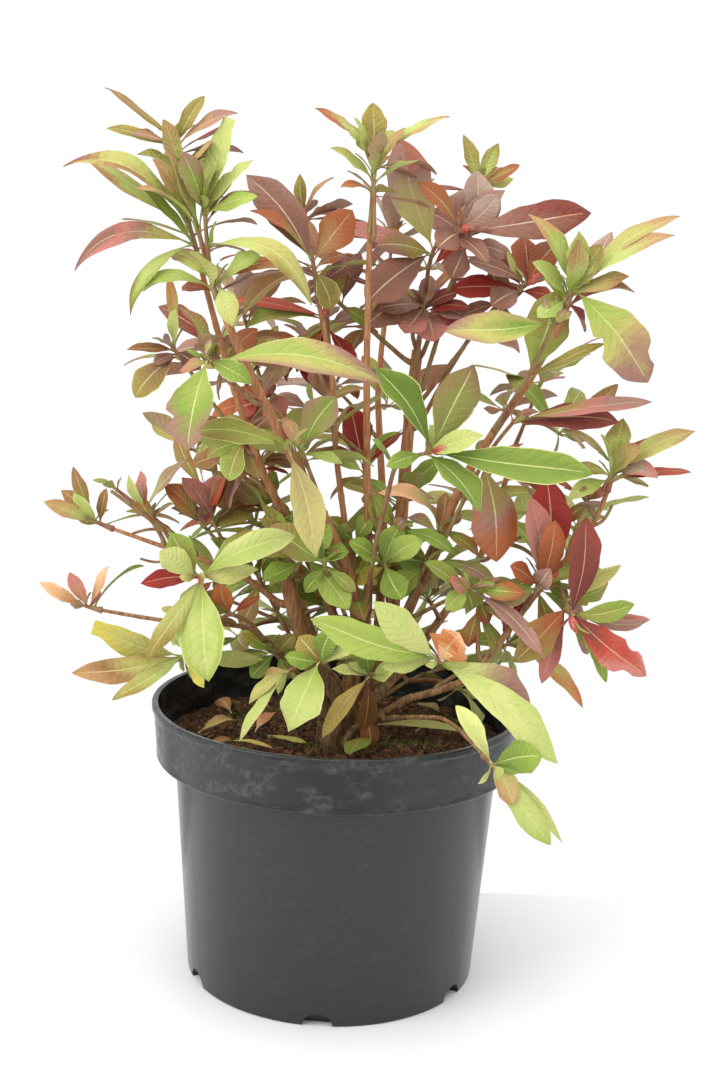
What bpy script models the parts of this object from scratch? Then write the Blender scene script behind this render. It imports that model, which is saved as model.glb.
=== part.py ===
"""An azalea shrub in a black nursery pot: one solid for each limb and each mass of leaves.

Metres, +Z up, the origin at the middle of the pot's flat underside. -Y is the shrub's front.
Sizes in the plant's tables are millimetres: (right, back, up) is a point or a reach from one.
"""

import math
import random

import bmesh
import bpy
from mathutils import Quaternion, Vector
from mathutils.bvhtree import BVHTree
from mathutils.geometry import interpolate_bezier

MM = 0.001
GAP = 0.3  # mm between two pieces that touch on the real plant

# The pot, in mm.
POT_HEIGHT = 209
RIM_RADIUS = 140
COLLAR_FOOT_RADIUS = 135.6
COLLAR_HEIGHT = 41.5
BODY_TOP_RADIUS = 122
BASE_RADIUS = 110
LIP_WIDTH = 4.5
WALL = 2.6
FLOOR_THICKNESS = 12
NOTCHES = 6
NOTCH_WIDTH = 22
NOTCH_HEIGHT = 10
NOTCH_DEPTH = 8
NOTCH_FIRST = -93  # degrees, just left of the front
POT_SIDES = 40

# The peat in it.
SOIL_HEIGHT = 176
SOIL_BUMP = 3.5
SOIL_SIDES = 24
SOIL_RINGS = 4
FLAT_RADIUS = 28  # level round the trunk's foot

# Limbs: name, the limb it grows on, how far along that, the points it runs through, radii at its
# root and tip.
TRUNK_ROUTE = [(2, 2, SOIL_HEIGHT + GAP), (5, 0, 192), (10, -2, 208)]
TRUNK_RADII = (22, 15.5, 14)
LIMB_SIDES = 8
THIN_LIMB = 4  # mm; a limb with a thinner root has fewer sides
THIN_LIMB_SIDES = 6
LIMBS = [
    ("leader", "trunk", 1.0, (-4.5, -5),
     [(12, -14, 283), (-14, -35, 353), (-58, -55, 437), (-91, -66, 508)], 6.4, 2.5),
    ("upright_stem", "trunk", 1.0, (0, 7.5),
     [(20, -6, 285), (16, -20, 370), (12, -28, 470), (11, -32, 555)], 3.6, 2.0),
    ("back_right_stem", "trunk", 1.0, (8, 1),
     [(34, 8, 250), (41, 24, 310), (45, 38, 400), (50, 44, 472)], 6.2, 4.2),
    ("stub", "trunk", 0.62, (-1, -0.15),
     [(-22, -10, 240), (-36, -12, 285), (-44, -12, 315)], 6.4, 5.6),
    ("right_stem", "back_right_stem", 0.3, (0.6, -1),
     [(58, -10, 305), (88, -16, 388), (128, -30, 458), (147, -41, 500)], 4.6, 2.4),
    ("low_right_branch", "trunk", 0.7, (1, -0.5),
     [(52, -46, 226), (92, -44, 240), (138, -34, 300), (178, -30, 353), (188, -30, 380)], 3.4, 1.7),
    ("twin_stem", "leader", 0.24, (-0.8, 0.7),
     [(-26, 2, 316), (-58, -16, 378), (-82, -36, 448), (-104, -52, 528)], 3.8, 1.9),
    ("inner_stem", "leader", 0.36, (0.05, 1),
     [(-8, -18, 400), (-12, -14, 450), (-24, -14, 508)], 2.6, 1.7),
    ("low_left_branch", "stub", 0.35, (-1, 0.1),
     [(-66, -22, 268), (-120, -30, 272), (-174, -30, 279)], 2.4, 1.3),
    ("upper_left_branch", "stub", 0.72, (-1, 0.3),
     [(-76, -8, 305), (-118, -4, 318), (-171, 0, 334)], 2.6, 1.4),
    ("trailing_shoot", "low_right_branch", 0.18, (0.2, -1),
     [(74, -78, 222), (92, -106, 215.5), (101, -121, 210)], 1.9, 1.3),
    ("back_left_stem", "trunk", 0.75, (-0.6, 1),
     [(-30, 58, 262), (-58, 92, 350), (-70, 108, 430)], 5.0, 2.2),
    ("back_stem", "back_right_stem", 0.3, (-0.3, 1),
     [(30, 74, 340), (22, 104, 430), (26, 112, 500)], 4.2, 2.0),
    ("far_right_stem", "trunk", 0.8, (1, 0.8),
     [(66, 52, 245), (110, 84, 310), (132, 96, 392)], 4.4, 2.0),
]

# Leaves: a leaf is (right, back, up) from its whorl to its tip, its width and its arch in degrees.
LEAF_THICKNESS = 1.1
LEAF_FOLD = 0.10  # how far each half rises towards its edge, as a share of the width
PETIOLE_WIDTH = 1.2
PETIOLE_KEEL = 0.35
TWIG_RADIUS = 1.9
TWIG_TIP_RADIUS = 1.55
WHORL_SPACING = 1.3  # mm along the twig between one leaf's root and the next
FACE_FRONT = 1.1  # how far the listed leaves turn their upper sides to the front
WELDS = (0.002, 0.01)  # mm
MOST_NUDGES = 8  # times that the leaves of a mass are moved a little to make a sound join
FILL_SEED = 23
GOLDEN_ANGLE = 137.5

# Masses of leaves: name, the limb that carries it, how far along that, then its whorls. Each whorl
# is its place, its leaves and how many more leaves the rule adds on the side away from the front.
MASSES = [
    ("leader_crown", "leader", 1.0, [
        ((-94, -67, 516), [
            (-46, -10, -4, 20, 80), (-14, -22, 24, 24, 30), (-24, 18, 2, 14, 30)], 1),
        ((-98, -69, 543), [
            (72, -16, -36, 17, 130), (6, -8, 18, 11, 10)], 1),
        ((-100, -70, 567), [
            (17, -6, 59, 18, 5), (32, -10, 34, 12, 20), (36, -12, 12, 13, 30), (-14, -16, 40, 20, 20),
            (-3, 12, 40, 15, 10), (16, 22, 32, 14, 30)], 1),
    ]),
    ("twin_crown", "twin_stem", 1.0, [
        ((-108, -56, 545), [
            (-42, -10, -50, 11, 110), (-80, -12, -20, 18, 110), (-36, -22, 38, 14, 25)], 1),
        ((-111, -58, 554), [
            (-84, -12, 38, 16, 120), (-70, -4, 44, 16, 40), (-18, 6, 56, 13, 15)], 2),
        ((-121, -61, 611), [
            (-47, -6, 33, 12, 35), (19, -4, 31, 12, 30), (41, -8, 22, 14, 50), (-50, 14, 12, 10, 30),
            (-28, -16, 8, 15, 40)], 2),
    ]),
    ("left_shoot", "twin_stem", 0.62, [
        ((-124, -42, 473), [
            (-4, 4, 52, 8, 5), (2, -8, 28, 13, 10), (-32, -10, 0, 12, 30), (17, 4, -12, 15, 30),
            (-16, -6, -8, 14, 20), (-28, -12, -30, 22, 50)], 2),
    ]),
    ("hanging_leaves", "leader", 0.78, [
        ((-96, -78, 468), [
            (-10, -20, -60, 38, 30), (30, -12, -14, 14, 80), (-22, 8, -8, 12, 40),
            (116, -22, -8, 22, 70)], 0),
    ]),
    ("arching_leaves", "leader", 0.44, [
        ((-40, -66, 408), [
            (-66, -2, 8, 18, 80), (22, -26, -70, 22, 40)], 0),
    ]),
    ("orange_whorl", "inner_stem", 1.0, [
        ((-29, -15, 537), [
            (-44, -12, 32, 20, 45), (27, -12, 36, 25, 15), (-50, 14, 60, 28, 25), (-48, -14, -36, 29, 45),
            (-68, 12, 2, 17, 60), (26, 12, 10, 22, 60), (12, 4, -28, 18, 80)], 1),
        ((-37, 8, 568), [
            (-4, 2, 29, 9, 20), (20, -4, 28, 12, 50), (28, 14, 4, 18, 40)], 2),
    ]),
    ("inner_red_whorl", "inner_stem", 0.6, [
        ((-18, 18, 495), [
            (-72, 6, 10, 13, 30), (-60, -4, -8, 20, 50), (-12, -4, -46, 22, 20), (-40, 22, -34, 22, 40),
            (30, 20, 6, 18, 40), (-22, -6, -34, 18, 40), (20, -6, -36, 18, 40)], 2),
    ]),
    ("centre_crown", "upright_stem", 1.0, [
        ((12, -34, 586), [
            (-18, -6, 12, 9, 20), (-22, -8, 2, 10, 50), (16, 20, 2, 14, 40)], 1),
        ((13, -35, 609), [
            (-42, -8, 29, 16, 30), (49, -10, 28, 17, 35), (-3, 8, 38, 17, 10), (-14, 4, 22, 14, 15),
            (12, -4, 22, 13, 15), (-4, -12, 20, 10, 15)], 2),
    ]),
    ("upper_centre", "back_right_stem", 1.0, [
        ((54, 28, 512), [
            (-44, -22, -22, 28, 50), (-40, 26, -6, 20, 40), (34, -14, -12, 20, 40)], 1),
        ((57, 6, 547), [
            (-28, -12, 73, 33, 20), (34, 12, 46, 24, 30), (-46, -16, -38, 28, 60), (-42, -8, 4, 26, 50),
            (-66, 6, 30, 16, 30)], 1),
        ((76, -12, 560), [
            (-33, -12, 32, 16, 50), (-16, -20, -12, 20, 30), (28, 6, 27, 17, 20), (30, 16, 10, 12, 40),
            (96, 4, 18, 28, 25), (24, -18, -20, 18, 40)], 1),
    ]),
    ("small_top", "back_right_stem", 0.9, [
        ((84, 34, 560), [
            (34, 8, 4, 18, 40), (-30, 12, 12, 20, 40)], 1),
        ((89, 26, 596), [
            (-13, 0, 34, 12, 15), (13, 0, 30, 11, 10), (29, -4, 16, 11, 10), (26, 6, 8, 12, 20)], 2),
    ]),
    ("red_whorl", "back_right_stem", 0.82, [
        ((92, 34, 490), [
            (-34, -20, 18, 18, 40), (34, -14, -14, 18, 40)], 1),
        ((128, 12, 525), [
            (-46, -10, 15, 16, 40), (-3, 12, 35, 24, 20), (24, 6, 34, 19, 20), (-15, -6, 24, 9, 10),
            (-22, 14, 22, 16, 20), (-50, 6, -2, 20, 30), (-22, -14, -12, 22, 30),
            (34, 12, -8, 15, 30)], 2),
    ]),
    ("right_crown", "right_stem", 1.0, [
        ((153, -45, 524), [
            (53, -16, -62, 30, 50), (-35, -8, 50, 16, 70), (71, 4, 54, 15, 45), (65, -14, 42, 20, 45),
            (43, -4, 4, 17, 60), (29, 20, 46, 17, 20), (18, -12, 38, 17, 15), (-18, 2, 16, 10, 30),
            (14, 10, -20, 15, 20)], 2),
    ]),
    ("right_stem_upper", "right_stem", 0.66, [
        ((126, -40, 462), [
            (18, 2, 60, 30, 10), (52, -8, 26, 9, 40)], 0),
        ((140, -54, 500), [
            (-76, -10, -8, 24, 45)], 0),
    ]),
    ("right_stem_lower", "right_stem", 0.34, [
        ((98, -34, 400), [
            (12, -14, -70, 34, 15), (62, 4, -26, 15, 40)], 0),
        ((118, -40, 430), [
            (94, -10, 18, 21, 20), (76, 8, 2, 22, 40)], 0),
    ]),
    ("centre_whorl", "leader", 0.3, [
        ((34, -60, 396), [
            (-16, -18, 22, 13, 40)], 0),
        ((60, -76, 410), [
            (-41, -8, 56, 24, 25), (27, 6, 60, 29, 5), (112, -6, -10, 24, 25), (37, -18, -38, 29, 45),
            (38, -10, 15, 16, 50), (-26, -14, -8, 12, 30), (16, 44, 8, 22, 30)], 0),
    ]),
    ("right_tip_rosette", "low_right_branch", 1.0, [
        ((193, -30, 398), [
            (-40, -8, 27, 12, 50), (4, 4, 37, 21, 5), (54, -8, 32, 14, 40), (29, -14, 0, 17, 50),
            (28, 10, -8, 12, 30), (-33, -6, 2, 14, 60), (18, 20, 24, 15, 20)], 2),
    ]),
    ("inner_right_whorl", "low_right_branch", 0.62, [
        ((143, -52, 318), [
            (0, 4, 76, 30, 15), (-12, -4, 62, 20, 15), (6, -12, 48, 18, 15), (12, -14, 16, 15, 80),
            (-22, -8, 16, 18, 20), (-34, -12, -10, 16, 40)], 1),
    ]),
    ("lower_right_whorl", "low_right_branch", 0.7, [
        ((164, -58, 293), [
            (5, -8, 74, 23, 10), (43, -10, 12, 14, 30), (58, 6, -8, 9, 90), (66, 4, -15, 12, 40),
            (57, -14, -40, 24, 30), (30, -4, -52, 9, 50), (18, 8, -36, 12, 30), (-38, -18, -38, 27, 40),
            (-14, 4, -60, 14, 20), (16, 16, 8, 20, 20)], 2),
    ]),
    ("under_right_whorl", "low_right_branch", 0.36, [
        ((126, -14, 262), [
            (56, -12, -44, 18, 50), (-6, 6, 24, 14, 20), (-26, -10, 4, 14, 30), (22, 8, 2, 18, 30),
            (12, 10, -30, 18, 20)], 2),
    ]),
    ("inner_low_whorl", "right_stem", 0.24, [
        ((92, -58, 312), [
            (54, -12, -42, 14, 30), (38, -10, 0, 14, 30), (-16, -8, -14, 14, 30), (-14, -10, 8, 17, 20),
            (6, 10, -16, 21, 20), (-30, -12, 22, 14, 40)], 1),
    ]),
    ("front_right_whorl", "back_right_stem", 0.17, [
        ((58, -62, 266), [
            (-44, -8, 8, 12, 20)], 0),
        ((70, -95, 267), [
            (5, -12, 23, 30, 10), (66, 8, -32, 25, 40), (84, -22, -64, 28, 40), (-46, -10, 42, 22, 25),
            (-88, -12, 28, 23, 45), (-38, -14, -4, 14, 30)], 0),
    ]),
    ("low_front_whorl", "trunk", 0.85, [
        ((23, -60, 246), [
            (-32, -22, -40, 13, 30), (-27, -12, 8, 9, 20), (21, -12, 13, 16, 20), (-6, -6, 22, 15, 10),
            (-2, 12, -42, 14, 10)], 0),
    ]),
    ("front_left_whorl", "leader", 0.13, [
        ((-14, -75, 259), [
            (-19, -26, -44, 33, 25), (-24, -10, 6, 15, 20), (-16, 2, 18, 18, 20), (8, -4, 26, 16, 15),
            (29, -10, 16, 9, 30)], 1),
        ((-36, -62, 247), [
            (-32, -24, -46, 12, 25), (-28, -6, -24, 10, 60), (-20, 8, -12, 13, 20),
            (14, -12, 14, 14, 30)], 1),
    ]),
    ("stub_shoots", "stub", 0.9, [
        ((-28, -34, 326), [
            (34, -16, -34, 22, 25), (20, -8, 26, 20, 40), (-32, -10, 30, 20, 40), (34, -6, 8, 18, 40),
            (-44, 10, 10, 18, 50), (-26, -16, -12, 16, 40)], 2),
    ]),
    ("centre_green", "back_right_stem", 0.42, [
        ((30, -30, 322), [
            (14, -10, -24, 20, 15), (-26, -8, 18, 18, 40), (28, -8, 22, 18, 40), (-20, 6, -14, 16, 30),
            (10, -4, 34, 18, 30)], 1),
    ]),
    ("light_green_whorl", "upper_left_branch", 0.45, [
        ((-103, -56, 312), [
            (-25, -12, 20, 18, 25), (-20, 2, 31, 20, 20), (68, -10, 34, 20, 80), (42, -6, 8, 14, 60),
            (-44, 6, -8, 13, 20), (-30, 12, 12, 13, 30), (8, -26, -70, 34, 40), (-38, -16, -60, 14, 60),
            (-16, 2, -38, 16, 20)], 1),
    ]),
    ("bronze_whorl", "upper_left_branch", 0.66, [
        ((-151, 12, 347), [
            (34, -8, 42, 24, 30), (-12, -6, 28, 11, 10), (-7, 12, 30, 12, 20), (-16, -4, 2, 6, 20)], 1),
        ((-172, 14, 362), [], 0),
    ]),
    ("khaki_whorl", "upper_left_branch", 0.38, [
        ((-108, 16, 338), [
            (-27, -10, 30, 20, 50), (-18, 6, 22, 9, 30), (17, -6, 42, 11, 10), (6, 18, 38, 20, 20),
            (34, 8, 10, 18, 40)], 2),
    ]),
    ("left_rosette", "upper_left_branch", 1.0, [
        ((-187, 0, 340), [
            (-15, 0, 40, 12, 15), (-36, -10, 15, 12, 35), (-28, 8, 22, 12, 30), (-16, -12, 24, 12, 15),
            (4, 4, 26, 10, 15), (-20, 8, 3, 6, 20)], 1),
    ]),
    ("small_left_rosette", "low_left_branch", 1.0, [
        ((-187, -30, 282), [
            (-32, -8, 18, 10, 50), (-12, -4, 26, 12, 15), (14, 0, 31, 12, 15), (6, 6, 12, 6, 10)], 1),
    ]),
    ("lower_left_whorl", "low_left_branch", 0.36, [
        ((-80, -44, 284), [
            (-8, -6, 24, 17, 20), (20, 6, 12, 8, 10), (-22, 8, 14, 16, 30)], 0),
        ((-113, -46, 250), [
            (-64, -6, 22, 22, 10), (-80, -8, -14, 18, 40), (-52, -14, -30, 13, 30), (-18, 6, 22, 9, 20),
            (14, -16, -22, 12, 20)], 1),
    ]),
    ("left_inner_leaves", "stub", 0.45, [
        ((-64, 12, 300), [
            (-36, -8, 30, 18, 40), (10, -8, 36, 18, 30), (-30, 12, -16, 18, 30), (16, 20, 24, 18, 30),
            (-14, -6, -36, 18, 30)], 2),
    ]),
    ("mid_left_leaves", "twin_stem", 0.34, [
        ((-74, 14, 394), [
            (-46, -20, 26, 20, 50), (-44, 8, -12, 20, 40), (22, -8, 34, 20, 30), (-16, 0, -40, 20, 30),
            (-20, 26, 30, 20, 30), (40, 10, -4, 18, 40)], 2),
    ]),
    ("trailing_tip", "trailing_shoot", 1.0, [
        ((107, -132, 206), [
            (-26, 10, 38, 13, 30), (34, 6, 6, 22, 20), (16, -12, -24, 16, 20), (40, -20, -52, 17, 25),
            (54, 4, -58, 8, 30)], 0),
    ]),
]

# Masses behind, which a rule lays out: name, limb, how far along it, the twig's reach, leaves a whorl.
BACK_MASSES = [
    ("back_left_crown", "back_left_stem", 1.0, (-14, 14, 46), 7),
    ("back_left_side", "back_left_stem", 0.72, (-52, 20, 22), 5),
    ("back_left_low", "back_left_stem", 0.36, (-54, 22, 14), 5),
    ("back_crown", "back_stem", 1.0, (2, 14, 44), 7),
    ("back_side", "back_stem", 0.62, (-30, 44, 26), 5),
    ("back_low", "back_left_stem", 0.30, (22, 62, 10), 5),
    ("far_right_crown", "far_right_stem", 1.0, (16, 10, 44), 6),
    ("far_right_side", "far_right_stem", 0.70, (46, 14, 22), 5),
    ("far_right_low", "far_right_stem", 0.22, (40, 44, 4), 5),
]
CRIMSON_MASSES = ["inner_red_whorl", "upper_centre", "red_whorl", "right_stem_lower", "inner_right_whorl",
                  "lower_right_whorl", "back_crown", "back_left_crown"]
BRONZE_MASSES = ["left_shoot", "orange_whorl", "small_top", "right_crown", "bronze_whorl", "khaki_whorl",
                 "left_rosette", "small_left_rosette", "under_right_whorl", "mid_left_leaves",
                 "back_left_side", "back_side", "far_right_crown", "far_right_side"]
BACK_LEAF_LENGTH = (46, 66)
BACK_LEAF_WIDTH = (17, 25)
BACK_LEAF_RISE = (-18, 58)  # degrees above level
BACK_FORKS = 2  # side twigs on each of these
BACK_FORK_SPREAD = 38


def material(name, colour, roughness):
    """A Principled material in linear colour."""
    made = bpy.data.materials.new(name)
    made.use_nodes = True
    shader = made.node_tree.nodes["Principled BSDF"]
    shader.inputs["Base Color"].default_value = (*colour, 1)
    shader.inputs["Roughness"].default_value = roughness
    shader.inputs["Metallic"].default_value = 0
    return made


def add_object(name, bm, made):
    """One named object from a bmesh in millimetres."""
    bmesh.ops.recalc_face_normals(bm, faces=bm.faces)
    bmesh.ops.scale(bm, vec=(MM, MM, MM), verts=bm.verts)
    mesh = bpy.data.meshes.new(name)
    bm.to_mesh(mesh)
    bm.free()
    mesh.materials.append(made)
    obj = bpy.data.objects.new(name, mesh)
    bpy.context.scene.collection.objects.link(obj)
    return obj


def smooth_round(obj, degrees):
    obj.data.shade_smooth()
    obj.data.set_sharp_from_angle(angle=math.radians(degrees))


def turned(profile, sides):
    """A bmesh turned round Z from (radius, height) points; a radius of 0 closes it on the axis."""
    bm = bmesh.new()
    rings = []
    for radius, height in profile:
        if radius == 0:
            rings.append([bm.verts.new((0, 0, height))])
            continue
        turns = [math.tau * k / sides for k in range(sides)]
        rings.append([bm.verts.new((radius * math.cos(a), radius * math.sin(a), height)) for a in turns])
    for low, high in zip(rings, rings[1:]):
        for k in range(sides):
            corners = [low[k % len(low)], low[(k + 1) % len(low)]]
            corners += [high[(k + 1) % len(high)], high[k % len(high)]]
            bm.faces.new(list(dict.fromkeys(corners)))
    return bm


# ---------------------------------------------------------------- pot and peat


def body_radius(height):
    """The outside of the pot's wall below its collar."""
    share = height / (POT_HEIGHT - COLLAR_HEIGHT)
    return BASE_RADIUS + (BODY_TOP_RADIUS - BASE_RADIUS) * share


def make_pot(made):
    collar_foot = POT_HEIGHT - COLLAR_HEIGHT
    lip_inner = RIM_RADIUS - LIP_WIDTH
    outside = [
        (0, 0),
        (BASE_RADIUS - 3, 0),
        (BASE_RADIUS, 3),
        (body_radius(collar_foot - 4), collar_foot - 4),
        (COLLAR_FOOT_RADIUS - 4, collar_foot - 0.5),
        (COLLAR_FOOT_RADIUS, collar_foot + 1),
        (RIM_RADIUS - 1, POT_HEIGHT - 5),
        (RIM_RADIUS, POT_HEIGHT - 2.5),
        (RIM_RADIUS - 1.2, POT_HEIGHT),
    ]
    inside = [
        (lip_inner + 0.8, POT_HEIGHT),
        (lip_inner, POT_HEIGHT - 2),
        (COLLAR_FOOT_RADIUS - WALL - 1, collar_foot + 3),
        (body_radius(collar_foot) - WALL, collar_foot - 3),
        (BASE_RADIUS - WALL, FLOOR_THICKNESS),
        (0, FLOOR_THICKNESS),
    ]
    pot = add_object("pot", turned(outside + inside, POT_SIDES), made)
    for k in range(NOTCHES):
        bearing = math.radians(NOTCH_FIRST + k * 360 / NOTCHES)
        bm = bmesh.new()
        bmesh.ops.create_cube(bm, size=1)
        bmesh.ops.scale(bm, vec=(NOTCH_DEPTH + 6, NOTCH_WIDTH, NOTCH_HEIGHT * 2), verts=bm.verts)
        cutter = add_object(f"notch_cutter_{k}", bm, made)
        reach = (BASE_RADIUS + 6 - (NOTCH_DEPTH + 6) / 2) * MM
        cutter.location = (reach * math.cos(bearing), reach * math.sin(bearing), 0)
        cutter.rotation_euler.z = bearing
        cutter.hide_render = True
        cutter.display_type = "WIRE"
        cut = pot.modifiers.new(f"notch_{k}", "BOOLEAN")
        cut.operation = "DIFFERENCE"
        cut.object = cutter
    smooth_round(pot, 35)
    return pot


def soil_lift(x, y):
    """The peat's lumps: level at the trunk, up to SOIL_BUMP further out."""
    reach = math.hypot(x, y)
    share = min(max((reach - FLAT_RADIUS) / 40, 0), 1)
    lumps = math.sin(x / 17 + 1.1) * math.cos(y / 14 - 0.4) + 0.6 * math.sin(x / 9 - y / 11)
    return share * SOIL_BUMP * 0.6 * lumps


def make_soil(made):
    """A plug of peat that fills the pot from its floor to its uneven top."""
    top_radius = COLLAR_FOOT_RADIUS - WALL - 1 - 2 * GAP
    body_top = POT_HEIGHT - COLLAR_HEIGHT - 3
    profile = [
        (0, FLOOR_THICKNESS + GAP),
        (BASE_RADIUS - WALL - 2 * GAP, FLOOR_THICKNESS + GAP),
        (body_radius(body_top) - WALL - 2 * GAP, body_top),
        (top_radius, POT_HEIGHT - COLLAR_HEIGHT + 3.5),
    ]
    radii = [FLAT_RADIUS + (top_radius - FLAT_RADIUS) * k / SOIL_RINGS for k in range(SOIL_RINGS, -1, -1)]
    profile += [(radius, SOIL_HEIGHT) for radius in radii] + [(0, SOIL_HEIGHT)]
    bm = turned(profile, SOIL_SIDES)
    for vert in bm.verts:
        if vert.co.z > SOIL_HEIGHT - 0.01:
            vert.co.z += soil_lift(vert.co.x, vert.co.y)
    # The pot's wall is flat between its corners, so the plug's corners keep inside those flats.
    inset = math.cos(math.pi / POT_SIDES)
    bmesh.ops.scale(bm, vec=(inset, inset, 1), verts=bm.verts)
    soil = add_object("soil", bm, made)
    smooth_round(soil, 50)
    return soil


# ---------------------------------------------------------------- limbs and twigs


def curve_through(points, steps):
    """Points on a smooth curve through these, as a chain of Bezier spans."""
    points = [Vector(p) for p in points]
    ends = [points[0] * 2 - points[1]] + points + [points[-1] * 2 - points[-2]]
    curve = [points[0]]
    for before, start, end, after in zip(ends, ends[1:], ends[2:], ends[3:]):
        span = (end - start).length
        leave = (end - before).normalized() * span / 3
        arrive = (after - start).normalized() * span / 3
        curve += interpolate_bezier(start, start + leave, end - arrive, end, steps + 1)[1:]
    return curve


def frames_along(points):
    """(point, side, up) along a path, carried along it so that a tube doesn't twist."""
    tangents = [(b - a).normalized() for a, b in zip(points, points[1:])]
    tangents = [tangents[0]] + [(a + b).normalized() for a, b in zip(tangents, tangents[1:])] + [tangents[-1]]
    side = tangents[0].orthogonal().normalized()
    frames = []
    for point, tangent in zip(points, tangents):
        side = (side - tangent * side.dot(tangent)).normalized()
        frames.append((point, side, tangent.cross(side)))
    return frames


def tube(bm, points, radii, sides):
    """A closed tapering tube, added to bm."""
    rings = []
    for (point, side, up), radius in zip(frames_along(points), radii):
        turns = [math.tau * k / sides for k in range(sides)]
        rings.append([bm.verts.new(point + (side * math.cos(a) + up * math.sin(a)) * radius) for a in turns])
    for low, high in zip(rings, rings[1:]):
        for k in range(sides):
            bm.faces.new((low[k], low[(k + 1) % sides], high[(k + 1) % sides], high[k]))
    bm.faces.new(rings[0][::-1])
    bm.faces.new(rings[-1])
    bmesh.ops.triangulate(bm, faces=bm.faces)


class Limb:
    """A limb's path, radii and skin, which say where the next piece can be seated on it."""

    def __init__(self, path, radii, tree):
        self.path = path
        self.radii = radii
        self.tree = tree

    def at(self, share):
        """(point, direction, radius) at this share of the limb's points."""
        place = min(share, 1) * (len(self.path) - 1)
        k = min(int(place), len(self.path) - 2)
        blend = place - k
        point = self.path[k].lerp(self.path[k + 1], blend)
        radius = self.radii[k] + (self.radii[k + 1] - self.radii[k]) * blend
        return point, (self.path[k + 1] - self.path[k]).normalized(), radius

    def seat(self, share, toward, ring):
        """(point, direction) of a flat seat for a ring of this radius, GAP clear of the limb."""
        point, along, radius = self.at(share)
        if share >= 1:
            return point + along * GAP, along
        outward = toward - point
        outward = (outward - along * outward.dot(along)).normalized()
        afar = point + outward * 3 * radius
        side = outward.orthogonal().normalized() * ring
        probes = [afar + Quaternion(outward, math.tau * k / 16) @ side * (k % 3) / 2 for k in range(48)]
        hits = [self.tree.ray_cast(probe, -outward)[3] for probe in probes]
        return afar - outward * (min(hit for hit in hits if hit) - GAP - 0.05), outward


def make_trunk(made):
    """The short butt with its root flare, flat at the peat and at its fork."""
    path = curve_through(TRUNK_ROUTE, 3)
    spans = len(path) - 1
    radii = []
    for k in range(spans + 1):
        place = k / spans * (len(TRUNK_RADII) - 1)
        low = min(int(place), len(TRUNK_RADII) - 2)
        radii.append(TRUNK_RADII[low] + (TRUNK_RADII[low + 1] - TRUNK_RADII[low]) * (place - low))
    bm = bmesh.new()
    tube(bm, path, radii, 12)
    for vert in bm.verts:
        flare = max(0, 1 - (vert.co.z - SOIL_HEIGHT) / 18) ** 2
        bearing = math.atan2(vert.co.y, vert.co.x)
        vert.co.x *= 1 + 0.22 * flare * math.cos(3 * bearing + 0.5)
        vert.co.y *= 1 + 0.22 * flare * math.cos(3 * bearing + 0.5)
        if vert.co.z < SOIL_HEIGHT + 4:
            vert.co.z = SOIL_HEIGHT + GAP
    limb = Limb(path, radii, BVHTree.FromBMesh(bm))
    smooth_round(add_object("trunk", bm, made), 40)
    return limb


def limb_path(limbs, parent, share, lean, route, ring):
    """The path of a limb: from its seat, square out of it, then through its route."""
    if share >= 1:
        point, along, _ = limbs[parent].at(1)
        start = point + Vector((*lean, 0))
        start = start - along * (start - point).dot(along) + along * GAP
        out = along
    else:
        point = limbs[parent].at(share)[0]
        start, out = limbs[parent].seat(share, point + Vector((*lean, 0.2)) * 100, ring)
    return [start] + curve_through([start + out * 4] + [Vector(p) for p in route], 2)


def make_limbs(made):
    limbs = {"trunk": make_trunk(made)}
    for name, parent, share, lean, route, root_radius, tip_radius in LIMBS:
        path = limb_path(limbs, parent, share, lean, route, root_radius)
        lengths = [0]
        for a, b in zip(path, path[1:]):
            lengths.append(lengths[-1] + (b - a).length)
        radii = [root_radius + (tip_radius - root_radius) * (d / lengths[-1]) ** 0.8 for d in lengths]
        bm = bmesh.new()
        tube(bm, path, radii, LIMB_SIDES if root_radius > THIN_LIMB else THIN_LIMB_SIDES)
        limbs[name] = Limb(path, radii, BVHTree.FromBMesh(bm))
        smooth_round(add_object(name, bm, made), 60)
    return limbs


# ---------------------------------------------------------------- leaves


def leaf_bmesh(root, reach, width, arch, axis, swell=0.0):
    """A closed leaf: a petiole, one or two folded sections on an arched midrib, and a point."""
    bm = bmesh.new()
    length = reach.length
    along = reach.normalized()
    face = axis - along * axis.dot(along)
    if face.length < 0.15:
        face = along.orthogonal()
    face.normalize()
    side = along.cross(face)
    rise = length * math.tan(math.radians(arch) / 4) / 2
    sections = [(0.32, 0.66), (0.66, 1.0)] if arch > 45 or length > 75 else [(0.55, 1.0)]
    rings = []
    for share, spread in [(0, PETIOLE_WIDTH / width)] + sections:
        centre = root + along * (length * share) + face * (rise * 4 * share * (1 - share))
        half = side * (width * spread / 2 + swell)
        lift = face * (LEAF_FOLD * width * spread + 0.15 + swell)
        keel = face * ((LEAF_THICKNESS / 2 if share else PETIOLE_KEEL) + swell)
        corners = centre + half + lift, centre - half + lift, centre - keel
        rings.append([bm.verts.new(corner) for corner in corners])
    tip = bm.verts.new(root + along * (length + swell))
    bm.faces.new(rings[0][::-1])
    for low, high in zip(rings, rings[1:]):
        for k in range(3):
            bm.faces.new((low[k], low[(k + 1) % 3], high[(k + 1) % 3], high[k]))
    for k in range(3):
        bm.faces.new((rings[-1][k], rings[-1][(k + 1) % 3], tip))
    bmesh.ops.recalc_face_normals(bm, faces=bm.faces)
    bmesh.ops.triangulate(bm, faces=bm.faces)
    return bm


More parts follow.
